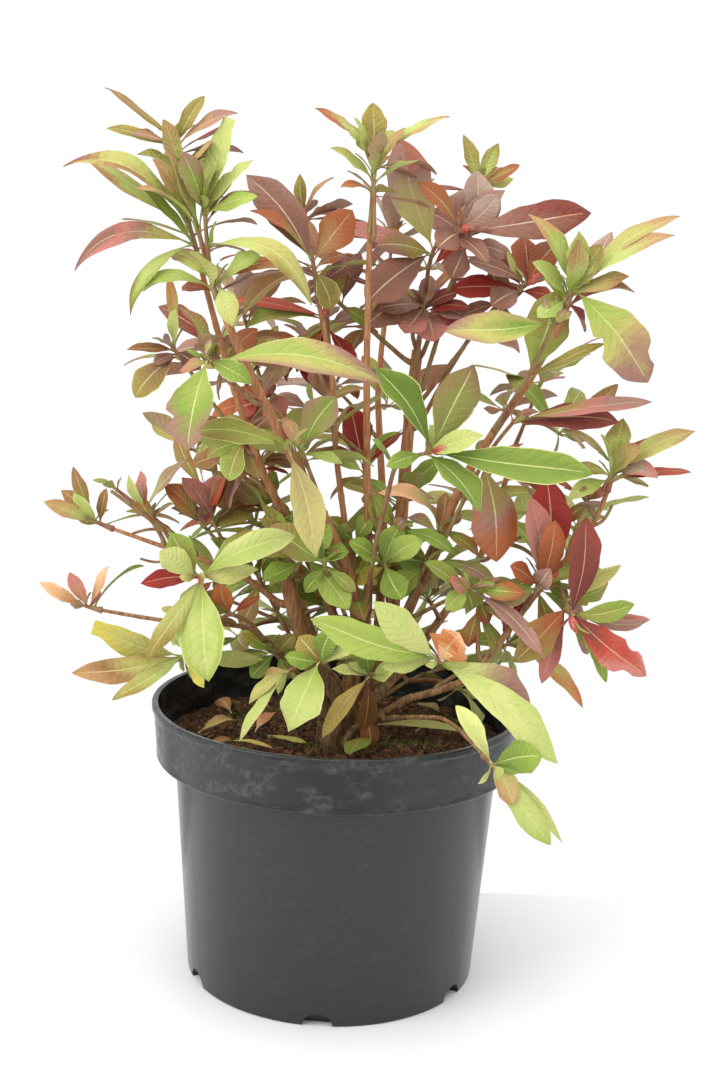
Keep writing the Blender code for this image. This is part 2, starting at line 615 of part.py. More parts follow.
class Clearance:
    """The pieces that a new leaf has to miss."""

    def __init__(self):
        self.trees = {}

    def add(self, name, bm):
        self.trees[name] = BVHTree.FromBMesh(bm)

    def add_object(self, obj):
        bm = bmesh.new()
        bm.from_mesh(obj.data)
        bmesh.ops.scale(bm, vec=(1 / MM, 1 / MM, 1 / MM), verts=bm.verts)
        self.add(obj.name, bm)
        bm.free()

    def is_free(self, bm, own):
        """Whether a mesh misses every piece but those whose name starts with own."""
        tree = BVHTree.FromBMesh(bm)
        others = [other for name, other in self.trees.items() if not name.startswith(own)]
        return not any(tree.overlap(other) for other in others)


# A leaf that is in another piece's way is turned a little about its whorl, or left out.
TURNS = [
    (0, 0), (9, 0), (-9, 0), (0, 10), (0, -10), (18, 5), (-18, 5), (14, -12), (-14, -12), (27, 0), (-27, 0),
]


def turned_reach(reach, turn, tilt):
    """The reach, swung round by turn and raised by tilt, in degrees."""
    level = math.hypot(reach.x, reach.y)
    bearing = math.atan2(reach.y, reach.x) + math.radians(turn)
    rise = math.atan2(reach.z, level) + math.radians(tilt)
    rise = max(min(rise, 1.45), -1.45)
    length = reach.length
    level = math.cos(rise)
    return Vector((math.cos(bearing) * level, math.sin(bearing) * level, math.sin(rise))) * length


def fill_leaves(count, rng, away):
    """More leaves by rule, spread by the golden angle over the side that away faces."""
    rows = []
    for k in range(count):
        spread = ((k * GOLDEN_ANGLE + rng.uniform(0, 40)) % 150) - 75
        bearing = away + spread
        rise = rng.uniform(-10, 45)
        length = rng.uniform(40, 58)
        level = length * math.cos(math.radians(rise))
        rows.append((
            level * math.cos(math.radians(bearing)),
            level * math.sin(math.radians(bearing)),
            length * math.sin(math.radians(rise)),
            rng.uniform(14, 20),
            rng.uniform(15, 55),
        ))
    return rows


def rosette(count, rng):
    """A full whorl of leaves by rule."""
    rows = []
    for k in range(count):
        bearing = math.radians(k * GOLDEN_ANGLE + rng.uniform(-12, 12))
        rise = math.radians(rng.uniform(*BACK_LEAF_RISE))
        length = rng.uniform(*BACK_LEAF_LENGTH)
        level = length * math.cos(rise)
        rows.append((
            level * math.cos(bearing),
            level * math.sin(bearing),
            length * math.sin(rise),
            rng.uniform(*BACK_LEAF_WIDTH),
            rng.uniform(15, 60),
        ))
    return rows


def back_whorls(limb, share, reach, count, rng):
    """Whorls of a mass behind: one at the end of its twig, and one at the end of each side twig."""
    start = limb.at(share)[0]
    reach = Vector(reach)
    whorls = [(start + reach * 0.5, [], 0)]
    for k in range(BACK_FORKS):
        spread = BACK_FORK_SPREAD if k else -BACK_FORK_SPREAD
        sideways = Vector((reach.y, -reach.x, 0)).normalized() * spread
        place = start + reach * 0.8 + sideways + Vector((0, 0, rng.uniform(-18, 0)))
        whorls.append((place, rosette(count - 2, rng), 0))
    whorls.append((start + reach * 1.3, rosette(count, rng), 0))
    return whorls


def one_body(mesh, weld):
    """Welds the mesh and drops loose scraps and sealed hollows.

    Gives the middle of an edge that is not sound, in mm, or None for one sound skin.
    """
    bm = bmesh.new()
    bm.from_mesh(mesh)
    bmesh.ops.remove_doubles(bm, verts=bm.verts, dist=weld * MM)
    bmesh.ops.dissolve_degenerate(bm, edges=bm.edges, dist=weld * MM)
    bmesh.ops.triangulate(bm, faces=bm.faces, ngon_method="EAR_CLIP")
    skins, seen = [], set()
    for face in bm.faces:
        if face in seen:
            continue
        skin, waiting = [], [face]
        seen.add(face)
        while waiting:
            skin.append(waiting.pop())
            for edge in skin[-1].edges:
                fresh = [other for other in edge.link_faces if other not in seen]
                seen.update(fresh)
                waiting += fresh
        skins.append(skin)
    skins.sort(key=len, reverse=True)
    spare = [face for skin in skins[1:] for face in skin]
    bmesh.ops.delete(bm, geom=spare, context="FACES")
    unsound = [(e.verts[0].co + e.verts[1].co) / 2 / MM for e in bm.edges if not e.is_manifold]
    unsound += [v.co / MM for v in bm.verts if not v.is_manifold]
    bm.to_mesh(mesh)
    bm.free()
    return unsound[0] if unsound else None


class Leaf:
    """One leaf's place and shape, which can be nudged."""

    def __init__(self, root, reach, width, arch, axis):
        self.root = root
        self.reach = reach
        self.width = width
        self.arch = arch
        self.axis = axis

    def solid(self, swell=0.0):
        return leaf_bmesh(self.root, self.reach, self.width, self.arch, self.axis, swell)

    def distance(self, point):
        """How near its solid comes to a point."""
        bm = self.solid()
        near = BVHTree.FromBMesh(bm).find_nearest(point)
        bm.free()
        return near[3]

    def crosses(self, other):
        """Whether the outer parts of two leaves come within about a leaf's thickness of each other."""
        for mine in (0.35, 0.6, 0.9):
            for theirs in (0.35, 0.6, 0.9):
                gap = (self.root + self.reach * mine) - (other.root + other.reach * theirs)
                if gap.length < (self.width + other.width) * 0.3:
                    return True
        return False

    def nudge(self, step):
        """Turns it by a few degrees, one way and then the other."""
        turn = (3 + step) * (1 if step % 2 else -1)
        self.reach = turned_reach(self.reach, turn, turn / 2)
        self.width *= 0.97


def fuse(base, solids, name):
    """Joins base and these objects with one Boolean; gives the mesh and where it is unsound, if it is."""
    group = bpy.data.collections.new(name + "_pieces")
    bpy.context.scene.collection.children.link(group)
    for solid in solids:
        bpy.context.scene.collection.objects.unlink(solid)
        group.objects.link(solid)
    join = base.modifiers.new("join", "BOOLEAN")
    join.operation = "UNION"
    join.operand_type = "COLLECTION"
    join.collection = group
    for solver in ("EXACT", "MANIFOLD"):
        join.solver = solver
        for weld in WELDS:
            bpy.context.view_layer.update()
            evaluated = base.evaluated_get(bpy.context.evaluated_depsgraph_get())
            mesh = bpy.data.meshes.new_from_object(evaluated)
            place = one_body(mesh, weld)
            if place is None:
                break
        if place is None:
            break
    base.modifiers.remove(join)
    for solid in solids:
        bpy.data.objects.remove(solid)
    bpy.data.collections.remove(group)
    return mesh, place


def fuse_mass(twig, forks, leaves, name, clearance, made):
    """Fuses the leaves on the twig. A leaf where the join fails is nudged, and at last left out."""
    for step in range(3 * MOST_NUDGES):
        solids = [add_object(f"{name}_fork", bm.copy(), made) for bm in forks]
        solids += [add_object(f"{name}_leaf", leaf.solid(), made) for leaf in leaves]
        mesh, place = fuse(twig, solids, name)
        if place is None:
            break
        culprit = min(leaves, key=lambda leaf: leaf.distance(place))
        culprit.nudge(step)
        probe = culprit.solid(swell=GAP)
        if step % MOST_NUDGES == MOST_NUDGES - 1 or not clearance.is_free(probe, name):
            leaves.remove(culprit)
        probe.free()
    for bm in forks:
        bm.free()
    twig.data = mesh
    mesh.name = name


def walk_back(path, end, distance):
    """(point, direction) this far back along a path from its point number end."""
    for k in range(end, 0, -1):
        span = path[k] - path[k - 1]
        if distance <= span.length or k == 1:
            return path[k] - span.normalized() * distance, span.normalized()
        distance -= span.length


class Mass:
    """A mass of leaves on a three-sided twig through its whorls.

    In a forked mass the twig runs to the last whorl, and the ones between end side twigs.
    """

    def __init__(self, name, limb, share, whorls, made, forked=False):
        self.name = name
        self.made = made
        self.whorls = whorls
        self.places = [Vector(place) for place, _, _ in whorls]
        ends = [self.places[0], self.places[-1]] if forked else self.places
        seat, out = limb.seat(share, self.places[0], TWIG_RADIUS)
        path = [seat] + curve_through([seat + out * 2.5] + ends, 2)
        self.paths = [path] * len(whorls)
        self.forks = []
        if forked:
            for k, place in enumerate(self.places[1:-1], start=1):
                middle = self.places[0].lerp(place, 0.5) + Vector((0, 0, 4))
                self.paths[k] = curve_through([self.places[0], middle, place], 2)
                bm = bmesh.new()
                tube(bm, self.paths[k], [TWIG_TIP_RADIUS] * len(self.paths[k]), 3)
                self.forks.append(bm)
        taper = (TWIG_TIP_RADIUS - TWIG_RADIUS) / (len(path) - 1)
        bm = bmesh.new()
        tube(bm, path, [TWIG_RADIUS + taper * k for k in range(len(path))], 3)
        self.twig = add_object(name, bm, made)

    def add_leaves(self, rng, clearance):
        """Puts in every leaf that has room, and fuses the mass."""
        leaves = []
        for place, path, (_, rows, extra) in zip(self.places, self.paths, self.whorls):
            end = min(range(1, len(path)), key=lambda k: (path[k] - place).length)
            for k, (right, back, up, width, arch) in enumerate(list(rows) + fill_leaves(extra, rng, 90)):
                root, along = walk_back(path, end, 0.8 + WHORL_SPACING * k)
                ruled = k >= len(rows) or len(self.forks) > 0
                axis = (along + Vector((0, 0 if ruled else -FACE_FRONT, 0.8))).normalized()
                for turn, tilt in TURNS:
                    leaf = Leaf(root, turned_reach(Vector((right, back, up)), turn, tilt), width, arch, axis)
                    if ruled and any(leaf.crosses(other) for other in leaves):
                        continue
                    probe = leaf.solid(swell=GAP)
                    free = clearance.is_free(probe, self.name)
                    probe.free()
                    if free:
                        leaves.append(leaf)
                        break
        fuse_mass(self.twig, self.forks, leaves, self.name, clearance, self.made)
        clearance.add_object(self.twig)


def main():
    for obj in list(bpy.data.objects):
        bpy.data.objects.remove(obj)
    plastic = material("pot plastic", (0.012, 0.012, 0.013), 0.42)
    peat = material("peat", (0.045, 0.026, 0.016), 0.95)
    bark = material("bark", (0.20, 0.10, 0.055), 0.8)
    lime = material("lime leaf", (0.38, 0.52, 0.11), 0.5)
    bronze = material("bronze leaf", (0.30, 0.20, 0.08), 0.5)
    crimson = material("crimson leaf", (0.36, 0.05, 0.06), 0.5)
    tints = dict.fromkeys(BRONZE_MASSES, bronze) | dict.fromkeys(CRIMSON_MASSES, crimson)
    clearance = Clearance()
    make_pot(plastic)
    make_soil(peat)
    limbs = make_limbs(bark)
    bpy.context.view_layer.update()
    for obj in bpy.data.objects:
        if not obj.hide_render:
            clearance.add_object(obj)
    rng = random.Random(FILL_SEED)
    masses = []
    for name, limb, share, whorls in MASSES:
        masses.append(Mass(name, limbs[limb], share, whorls, tints.get(name, lime)))
    for name, limb, share, reach, count in BACK_MASSES:
        whorls = back_whorls(limbs[limb], share, reach, count, rng)
        masses.append(Mass(name, limbs[limb], share, whorls, tints.get(name, lime), forked=True))
    for mass in masses:
        clearance.add_object(mass.twig)
        for k, bm in enumerate(mass.forks):
            clearance.add(f"{mass.name}_fork_{k}", bm)
    for mass in masses:
        mass.add_leaves(rng, clearance)


main()
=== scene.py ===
import math
import random

import bmesh
import bpy
import numpy as np
from mathutils import Matrix, Vector
from mathutils.bvhtree import BVHTree
from mathutils.geometry import interpolate_bezier


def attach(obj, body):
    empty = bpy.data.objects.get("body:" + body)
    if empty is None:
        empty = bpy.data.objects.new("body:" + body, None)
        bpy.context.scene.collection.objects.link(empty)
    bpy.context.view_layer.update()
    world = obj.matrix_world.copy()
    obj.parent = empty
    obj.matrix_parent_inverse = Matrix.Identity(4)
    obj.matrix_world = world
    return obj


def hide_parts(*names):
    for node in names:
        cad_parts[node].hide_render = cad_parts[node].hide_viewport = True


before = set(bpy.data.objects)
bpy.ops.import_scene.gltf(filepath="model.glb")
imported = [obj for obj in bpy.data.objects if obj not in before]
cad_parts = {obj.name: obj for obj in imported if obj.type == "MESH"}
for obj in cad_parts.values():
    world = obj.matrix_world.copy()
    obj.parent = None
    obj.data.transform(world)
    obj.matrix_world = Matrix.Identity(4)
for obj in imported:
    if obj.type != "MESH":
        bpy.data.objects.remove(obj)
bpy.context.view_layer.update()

MM = 0.001
GAP = 0.3

# ---------------------------------------------------------------- sizes of the pot and the peat

POT_HEIGHT = 209
RIM_RADIUS = 140
COLLAR_FOOT_RADIUS = 135.6
COLLAR_HEIGHT = 41.5
BODY_TOP_RADIUS = 122
BASE_RADIUS = 110
LIP_WIDTH = 4.5
WALL = 2.6
FLOOR_THICKNESS = 12
NOTCHES = 6
NOTCH_WIDTH = 22
NOTCH_HEIGHT = 10
NOTCH_DEPTH = 8
NOTCH_FIRST = -93
POT_SIDES = 160
SOIL_HEIGHT = 176
SOIL_BUMP = 3.5
FLAT_RADIUS = 28

# ---------------------------------------------------------------- the plant's tables

TRUNK_ROUTE = [(2, 2, SOIL_HEIGHT + GAP), (5, 0, 192), (10, -2, 208)]
TRUNK_RADII = (22, 15.5, 14)
CORE_SHARE = 0.5  # of the trunk that its core fills, inside the stems' feet
# Where stems stand in the peat, grown together at the foot: x, y and radius.
FEET = {
    "leader": (-4, -6, 8.5), "back_right_stem": (9, 1, 8), "stub": (-9, 5, 7.5), "back_left_stem": (3, 9, 7),
    "low_right_branch": (8, -8, 5),
}
LIMBS = [
    ("leader", "trunk", 1.0, (-4.5, -5),
     [(12, -14, 283), (-14, -35, 353), (-58, -55, 437), (-91, -66, 508)], 6.4, 2.5),
    ("upright_stem", "trunk", 1.0, (0, 7.5),
     [(20, -6, 285), (16, -20, 370), (12, -28, 470), (11, -32, 555)], 3.6, 2.0),
    ("back_right_stem", "trunk", 1.0, (8, 1),
     [(34, 8, 250), (41, 24, 310), (45, 38, 400), (50, 44, 472)], 6.2, 4.2),
    ("stub", "trunk", 0.62, (-1, -0.15),
     [(-22, -10, 240), (-36, -12, 285), (-44, -12, 315)], 6.4, 5.6),
    ("right_stem", "back_right_stem", 0.3, (0.6, -1),
     [(58, -10, 305), (88, -16, 388), (128, -30, 458), (147, -41, 500)], 4.6, 2.4),
    ("low_right_branch", "trunk", 0.7, (1, -0.5),
     [(52, -46, 226), (92, -44, 240), (138, -34, 300), (178, -30, 353), (188, -30, 380)], 3.4, 1.7),
    ("twin_stem", "leader", 0.24, (-0.8, 0.7),
     [(-26, 2, 316), (-58, -16, 378), (-82, -36, 448), (-104, -52, 528)], 3.8, 1.9),
    ("inner_stem", "leader", 0.36, (0.05, 1),
     [(-8, -18, 400), (-12, -14, 450), (-24, -14, 508)], 2.6, 1.7),
    ("low_left_branch", "stub", 0.35, (-1, 0.1),
     [(-66, -22, 268), (-120, -30, 272), (-174, -30, 279)], 2.4, 1.3),
    ("upper_left_branch", "stub", 0.72, (-1, 0.3),
     [(-76, -8, 305), (-118, -4, 318), (-171, 0, 334)], 2.6, 1.4),
    ("trailing_shoot", "low_right_branch", 0.18, (0.2, -1),
     [(74, -78, 222), (92, -106, 215.5), (101, -121, 210)], 1.9, 1.3),
    ("back_left_stem", "trunk", 0.75, (-0.6, 1),
     [(-30, 58, 262), (-58, 92, 350), (-70, 108, 430)], 5.0, 2.2),
    ("back_stem", "back_right_stem", 0.3, (-0.3, 1),
     [(30, 74, 340), (22, 104, 430), (26, 112, 500)], 4.2, 2.0),
    ("far_right_stem", "trunk", 0.8, (1, 0.8),
     [(66, 52, 245), (110, 84, 310), (132, 96, 392)], 4.4, 2.0),
]

TWIG_RADIUS = 1.9
TWIG_TIP_RADIUS = 1.55
WHORL_SPACING = 1.3
FACE_FRONT = 1.1
FILL_SEED = 23
GOLDEN_ANGLE = 137.5

# Masses of leaves: name, the limb that carries it, how far along that, then its whorls. Each whorl
# is its place, its leaves (reach right, back and up, width, arch, tint from base to tip) and how
# many more leaves the rule adds behind.
MASSES = [
    ("leader_crown", "leader", 1.0, [
        ((-94, -67, 516), [
            (-46, -10, -4, 20, 80, "lime>fresh"), (-14, -22, 24, 24, 30, "pale>sage"),
            (-24, 18, 2, 14, 30, "rust")], 1),
        ((-98, -69, 543), [
            (72, -16, -36, 17, 130, "lime>sage>olive"), (6, -8, 18, 11, 10, "green")], 1),
        ((-100, -70, 567), [
            (17, -6, 59, 18, 5, "lime cut"), (32, -10, 34, 12, 20, "lime nibbled"),
            (36, -12, 12, 13, 30, "fresh"), (-14, -16, 40, 20, 20, "green>mauve"),
            (-3, 12, 40, 15, 10, "lime"), (16, 22, 32, 14, 30, "olive")], 1),
    ]),
    ("twin_crown", "twin_stem", 1.0, [
        ((-108, -56, 545), [
            (-42, -10, -50, 11, 110, "lime>lime>fresh>dead"),
            (-80, -12, -20, 18, 110, "sage>mauve>pink>plum"),
            (-36, -22, 38, 14, 25, "lime>green")], 1),
        ((-111, -58, 554), [
            (-84, -12, 38, 16, 120, "lime>lime>sage>maroon"), (-70, -4, 44, 16, 40, "lime>lime>tan"),
            (-18, 6, 56, 13, 15, "lime")], 2),
        ((-121, -61, 611), [
            (-47, -6, 33, 12, 35, "olive>bronze"), (19, -4, 31, 12, 30, "olive"),
            (41, -8, 22, 14, 50, "tan>mauve"), (-50, 14, 12, 10, 30, "olive"),
            (-28, -16, 8, 15, 40, "tan>mauve")], 2),
    ]),
    ("left_shoot", "twin_stem", 0.62, [
        ((-124, -42, 473), [
            (-4, 4, 52, 8, 5, "lime>orange"), (2, -8, 28, 13, 10, "lime"), (-32, -10, 0, 12, 30, "dead"),
            (17, 4, -12, 15, 30, "plum"), (-16, -6, -8, 14, 20, "plum>mauve"),
            (-28, -12, -30, 22, 50, "plum>olive")], 2),
    ]),
    ("hanging_leaves", "leader", 0.78, [
        ((-96, -78, 468), [
            (-10, -20, -60, 38, 30, "fresh>green>mauve nibbled"), (30, -12, -14, 14, 80, "green"),
            (-22, 8, -8, 12, 40, "sage>pink"), (116, -22, -8, 22, 70, "fresh>sage>mauve")], 0),
    ]),
    ("arching_leaves", "leader", 0.44, [
        ((-40, -66, 408), [
            (-66, -2, 8, 18, 80, "fresh>olive"), (22, -26, -70, 22, 40, "khaki")], 0),
    ]),
    ("orange_whorl", "inner_stem", 1.0, [
        ((-29, -15, 537), [
            (-44, -12, 32, 20, 45, "olive>rust>bronze"), (27, -12, 36, 25, 15, "tan>rust front"),
            (-50, 14, 60, 28, 25, "plum>mauve"), (-48, -14, -36, 29, 45, "plum>bronze>olive"),
            (-68, 12, 2, 17, 60, "rust"), (26, 12, 10, 22, 60, "bronze>rust"),
            (12, 4, -28, 18, 80, "olive")], 1),
        ((-37, 8, 568), [
            (-4, 2, 29, 9, 20, "olive"), (20, -4, 28, 12, 50, "bronze>tan"),
            (28, 14, 4, 18, 40, "mauve")], 2),
    ]),
    ("inner_red_whorl", "inner_stem", 0.6, [
        ((-18, 18, 495), [
            (-72, 6, 10, 13, 30, "scarlet>rust"), (-60, -4, -8, 20, 50, "olive>fresh"),
            (-12, -4, -46, 22, 20, "crimson"), (-40, 22, -34, 22, 40, "bronze"),
            (30, 20, 6, 18, 40, "mauve"), (-22, -6, -34, 18, 40, "rust"),
            (20, -6, -36, 18, 40, "crimson")], 2),
    ]),
    ("centre_crown", "upright_stem", 1.0, [
        ((12, -34, 586), [
            (-18, -6, 12, 9, 20, "olive"), (-22, -8, 2, 10, 50, "tan>orange"),
            (16, 20, 2, 14, 40, "olive")], 1),
        ((13, -35, 609), [
            (-42, -8, 29, 16, 30, "fresh>lime>rust nibbled"), (49, -10, 28, 17, 35, "lime>lime>tan nibbled"),
            (-3, 8, 38, 17, 10, "olive"), (-14, 4, 22, 14, 15, "lime nibbled"),
            (12, -4, 22, 13, 15, "lime nibbled"), (-4, -12, 20, 10, 15, "tan")], 2),
    ]),
    ("upper_centre", "back_right_stem", 1.0, [
        ((54, 28, 512), [
            (-44, -22, -22, 28, 50, "plum"), (-40, 26, -6, 20, 40, "bronze>plum"),
            (34, -14, -12, 20, 40, "plum>mauve")], 1),
        ((57, 6, 547), [
            (-28, -12, 76, 31, 8, "sage>khaki>dusk>pink front"), (34, 12, 46, 24, 30, "mauve>dusk"),
            (-46, -16, -38, 28, 60, "plum"), (-42, -8, 4, 26, 50, "olive>plum"),
            (-66, 6, 30, 16, 30, "mauve>pink")], 1),
        ((76, -12, 560), [
            (-33, -12, 32, 16, 50, "bronze>rust"), (-16, -20, -12, 20, 30, "plum"),
            (28, 6, 27, 17, 20, "mauve>dusk"), (30, 16, 10, 12, 40, "crimson"),
            (96, 4, 18, 27, 25, "mauve>plum>maroon"), (24, -18, -20, 18, 40, "plum")], 1),
    ]),
    ("small_top", "back_right_stem", 0.9, [
        ((84, 34, 560), [
            (34, 8, 4, 18, 40, "crimson"), (-30, 12, 12, 20, 40, "mauve")], 1),
        ((89, 26, 596), [
            (-13, 0, 34, 12, 15, "lime>olive"), (13, 0, 30, 11, 10, "lime>olive"),
            (29, -4, 16, 11, 10, "olive>rust"), (26, 6, 8, 12, 20, "sage")], 2),
    ]),
    ("red_whorl", "back_right_stem", 0.82, [
        ((92, 34, 490), [
            (-34, -20, 18, 18, 40, "crimson>plum"), (34, -14, -14, 18, 40, "mauve")], 1),
        ((128, 12, 525), [
            (-46, -10, 15, 16, 40, "plum>mauve"), (-3, 12, 35, 24, 20, "maroon>rust"),
            (24, 6, 34, 19, 20, "rust>plum"), (-15, -6, 24, 9, 10, "sage"), (-22, 14, 22, 16, 20, "plum"),
            (-50, 6, -2, 20, 30, "crimson"), (-22, -14, -12, 22, 30, "mauve>plum"),
            (34, 12, -8, 15, 30, "crimson>rust")], 2),
    ]),
    ("right_crown", "right_stem", 1.0, [
        ((153, -45, 524), [
            (53, -16, -62, 34, 50, "fresh>sage>mauve nibbled front"),
            (-35, -8, 50, 16, 70, "lime>lime>fresh>tan"),
            (71, 4, 54, 15, 45, "lime>sage>tan"), (65, -14, 42, 20, 45, "lime>lime>tan"),
            (43, -4, 4, 17, 60, "sage>tan>dead"), (29, 20, 46, 17, 20, "mauve>dusk"),
            (18, -12, 38, 17, 15, "lime>olive"), (-18, 2, 16, 10, 30, "fresh"),
            (14, 10, -20, 15, 20, "crimson")], 2),
    ]),
    ("right_stem_upper", "right_stem", 0.66, [
        ((126, -40, 462), [
            (18, 2, 60, 30, 10, "fresh>olive"), (52, -8, 26, 9, 40, "olive")], 0),
        ((140, -54, 500), [
            (-76, -10, -8, 24, 45, "green>sage>mauve front")], 0),
    ]),
    ("right_stem_lower", "right_stem", 0.34, [
        ((98, -34, 400), [
            (12, -14, -70, 34, 15, "olive>mauve>rust"), (62, 4, -26, 15, 40, "maroon")], 0),
        ((118, -40, 430), [
            (94, -10, 18, 21, 20, "olive>pink>mauve"), (76, 8, 2, 22, 40, "maroon")], 0),
    ]),
    ("centre_whorl", "leader", 0.3, [
        ((34, -60, 396), [
            (-16, -18, 22, 13, 40, "green")], 0),
        ((60, -76, 410), [
            (-41, -8, 56, 24, 25, "mid"), (27, 6, 60, 29, 5, "green>plum"),
            (112, -6, -10, 24, 25, "mid>green"), (37, -18, -38, 29, 45, "mid>green"),
            (38, -10, 15, 16, 50, "lime"), (-26, -14, -8, 12, 30, "green"),
            (16, 44, 8, 22, 30, "fresh")], 0),
    ]),
    ("right_tip_rosette", "low_right_branch", 1.0, [
        ((193, -30, 398), [
            (-40, -8, 27, 14, 50, "fresh>lime>tan"), (4, 4, 37, 17, 5, "fresh>lime>olive"),
            (54, -8, 32, 15, 40, "lime>sage>tan"), (29, -14, 0, 17, 50, "khaki>dusk>pink"),
            (28, 10, -8, 12, 30, "lime>olive"), (-33, -6, 2, 14, 60, "lime>olive"),
            (18, 20, 24, 15, 20, "bronze")], 2),
    ]),
    ("inner_right_whorl", "low_right_branch", 0.62, [
        ((143, -52, 318), [
            (0, 4, 76, 30, 15, "crimson"), (-12, -4, 62, 20, 15, "mauve>pink"),
            (6, -12, 48, 18, 15, "rust"), (12, -14, 16, 15, 80, "mauve"), (-22, -8, 16, 18, 20, "rust"),
            (-34, -12, -10, 16, 40, "green>mauve")], 1),
    ]),
    ("lower_right_whorl", "low_right_branch", 0.7, [
        ((164, -58, 293), [
            (5, -8, 74, 23, 10, "maroon"), (43, -10, 12, 14, 30, "olive>green"),
            (58, 6, -8, 9, 90, "mauve"), (66, 4, -15, 12, 40, "pink"),
            (57, -14, -40, 24, 30, "maroon>scarlet>pink nibbled"), (30, -4, -52, 9, 50, "green"),
            (18, 8, -36, 12, 30, "green>mauve"), (-38, -18, -38, 27, 40, "rust>olive"),
            (-14, 4, -60, 14, 20, "maroon>pink"), (16, 16, 8, 20, 20, "olive")], 2),
    ]),
    ("under_right_whorl", "low_right_branch", 0.36, [
        ((126, -14, 262), [
            (56, -12, -44, 18, 50, "lime>orange"), (-6, 6, 24, 14, 20, "crimson"),
            (-26, -10, 4, 14, 30, "green"), (22, 8, 2, 18, 30, "olive"),
            (12, 10, -30, 18, 20, "olive>green")], 2),
    ]),
    ("inner_low_whorl", "right_stem", 0.24, [
        ((92, -58, 312), [
            (54, -12, -42, 14, 30, "mauve"), (38, -10, 0, 14, 30, "green>rust"),
            (-16, -8, -14, 14, 30, "fresh"), (-14, -10, 8, 17, 20, "tan>pink"),
            (6, 10, -16, 21, 20, "olive>green"), (-30, -12, 22, 14, 40, "bronze>green")], 1),
    ]),
    ("front_right_whorl", "back_right_stem", 0.17, [
        ((58, -62, 266), [
            (-44, -8, 8, 12, 20, "lime")], 0),
        ((70, -95, 267), [
            (12, -12, 24, 30, 20, "peach>orange>peach nibbled front"), (66, 8, -32, 25, 40, "pale>mauve"),
            (84, -22, -64, 26, 40, "lime>pale>lime"), (-46, -10, 42, 22, 25, "pale>lime"),
            (-88, -12, 28, 23, 45, "green>fresh"), (-38, -14, -4, 14, 30, "lime")], 0),
    ]),
    ("low_front_whorl", "trunk", 0.85, [
        ((23, -60, 246), [
            (-32, -22, -40, 13, 30, "straw"), (-27, -12, 8, 9, 20, "pale"), (21, -12, 13, 16, 20, "lime"),
            (-6, -6, 22, 15, 10, "green"), (-2, 12, -42, 14, 10, "dead")], 0),
    ]),
    ("front_left_whorl", "leader", 0.13, [
        ((-14, -75, 259), [
            (-19, -26, -44, 33, 25, "fresh>lime"), (-24, -10, 6, 15, 20, "green"),
            (-16, 2, 18, 18, 20, "olive"), (8, -4, 26, 16, 15, "green"), (29, -10, 16, 9, 30, "pale")], 1),
        ((-36, -62, 247), [
            (-32, -24, -46, 12, 25, "lime>pale"), (-28, -6, -24, 10, 60, "sage"),
            (-20, 8, -12, 13, 20, "khaki>tan"), (14, -12, 14, 14, 30, "green")], 1),
    ]),
    ("stub_shoots", "stub", 0.9, [
        ((-28, -34, 326), [
            (34, -16, -34, 22, 25, "fresh"), (20, -8, 26, 20, 40, "green"),
            (-32, -10, 30, 20, 40, "olive"), (34, -6, 8, 18, 40, "green"), (-44, 10, 10, 18, 50, "olive"),
            (-26, -16, -12, 16, 40, "green")], 2),
    ]),
    ("centre_green", "back_right_stem", 0.42, [
        ((30, -30, 322), [
            (14, -10, -24, 20, 15, "green"), (-26, -8, 18, 18, 40, "green"), (28, -8, 22, 18, 40, "fresh"),
            (-20, 6, -14, 16, 30, "yellow"), (10, -4, 34, 18, 30, "green")], 1),
    ]),
    ("light_green_whorl", "upper_left_branch", 0.45, [
        ((-103, -56, 312), [
            (-25, -12, 20, 18, 25, "lime>pale"), (-20, 2, 31, 20, 20, "olive>green"),
            (68, -10, 34, 20, 80, "fresh>pale"), (42, -6, 8, 14, 60, "olive>pale"),
            (-44, 6, -8, 13, 20, "crimson"), (-30, 12, 12, 13, 30, "scarlet"),
            (8, -26, -70, 34, 40, "fresh>lime>fresh"), (-38, -16, -60, 14, 60, "lime>olive"),
            (-16, 2, -38, 16, 20, "pale>green")], 1),
    ]),
    ("bronze_whorl", "upper_left_branch", 0.66, [
        ((-151, 12, 347), [
            (34, -8, 42, 24, 30, "lime>plum"), (-12, -6, 28, 11, 10, "lime"),
            (-7, 12, 30, 12, 20, "mauve>pink"), (-16, -4, 2, 6, 20, "olive")], 1),
        ((-172, 14, 362), [], 0),
    ]),
    ("khaki_whorl", "upper_left_branch", 0.38, [
        ((-108, 16, 338), [
            (-27, -10, 30, 20, 50, "khaki>rust"), (-18, 6, 22, 9, 30, "mauve"),
            (17, -6, 42, 11, 10, "scarlet>rust"), (6, 18, 38, 20, 20, "mauve>pink"),
            (34, 8, 10, 18, 40, "olive")], 2),
    ]),
    ("left_rosette", "upper_left_branch", 1.0, [
        ((-187, 0, 340), [
            (-15, 0, 40, 12, 15, "olive>bronze"), (-36, -10, 15, 12, 35, "lime>tan"),
            (-28, 8, 22, 12, 30, "bronze"), (-16, -12, 24, 12, 15, "lime"), (4, 4, 26, 10, 15, "bronze"),
            (-20, 8, 3, 6, 20, "olive")], 1),
    ]),
    ("small_left_rosette", "low_left_branch", 1.0, [
        ((-187, -30, 282), [
            (-32, -8, 18, 10, 50, "tan>peach"), (-12, -4, 26, 12, 15, "tan>pink"),
            (14, 0, 31, 12, 15, "tan>peach"), (6, 6, 12, 6, 10, "pink")], 1),
    ]),
    ("lower_left_whorl", "low_left_branch", 0.36, [
        ((-80, -44, 284), [
            (-8, -6, 24, 17, 20, "orange"), (20, 6, 12, 8, 10, "scarlet>rust"),
            (-22, 8, 14, 16, 30, "olive")], 0),
        ((-113, -46, 250), [
            (-64, -6, 22, 22, 10, "sage>yellow cut"), (-80, -8, -14, 18, 40, "sage>bronze>tan"),
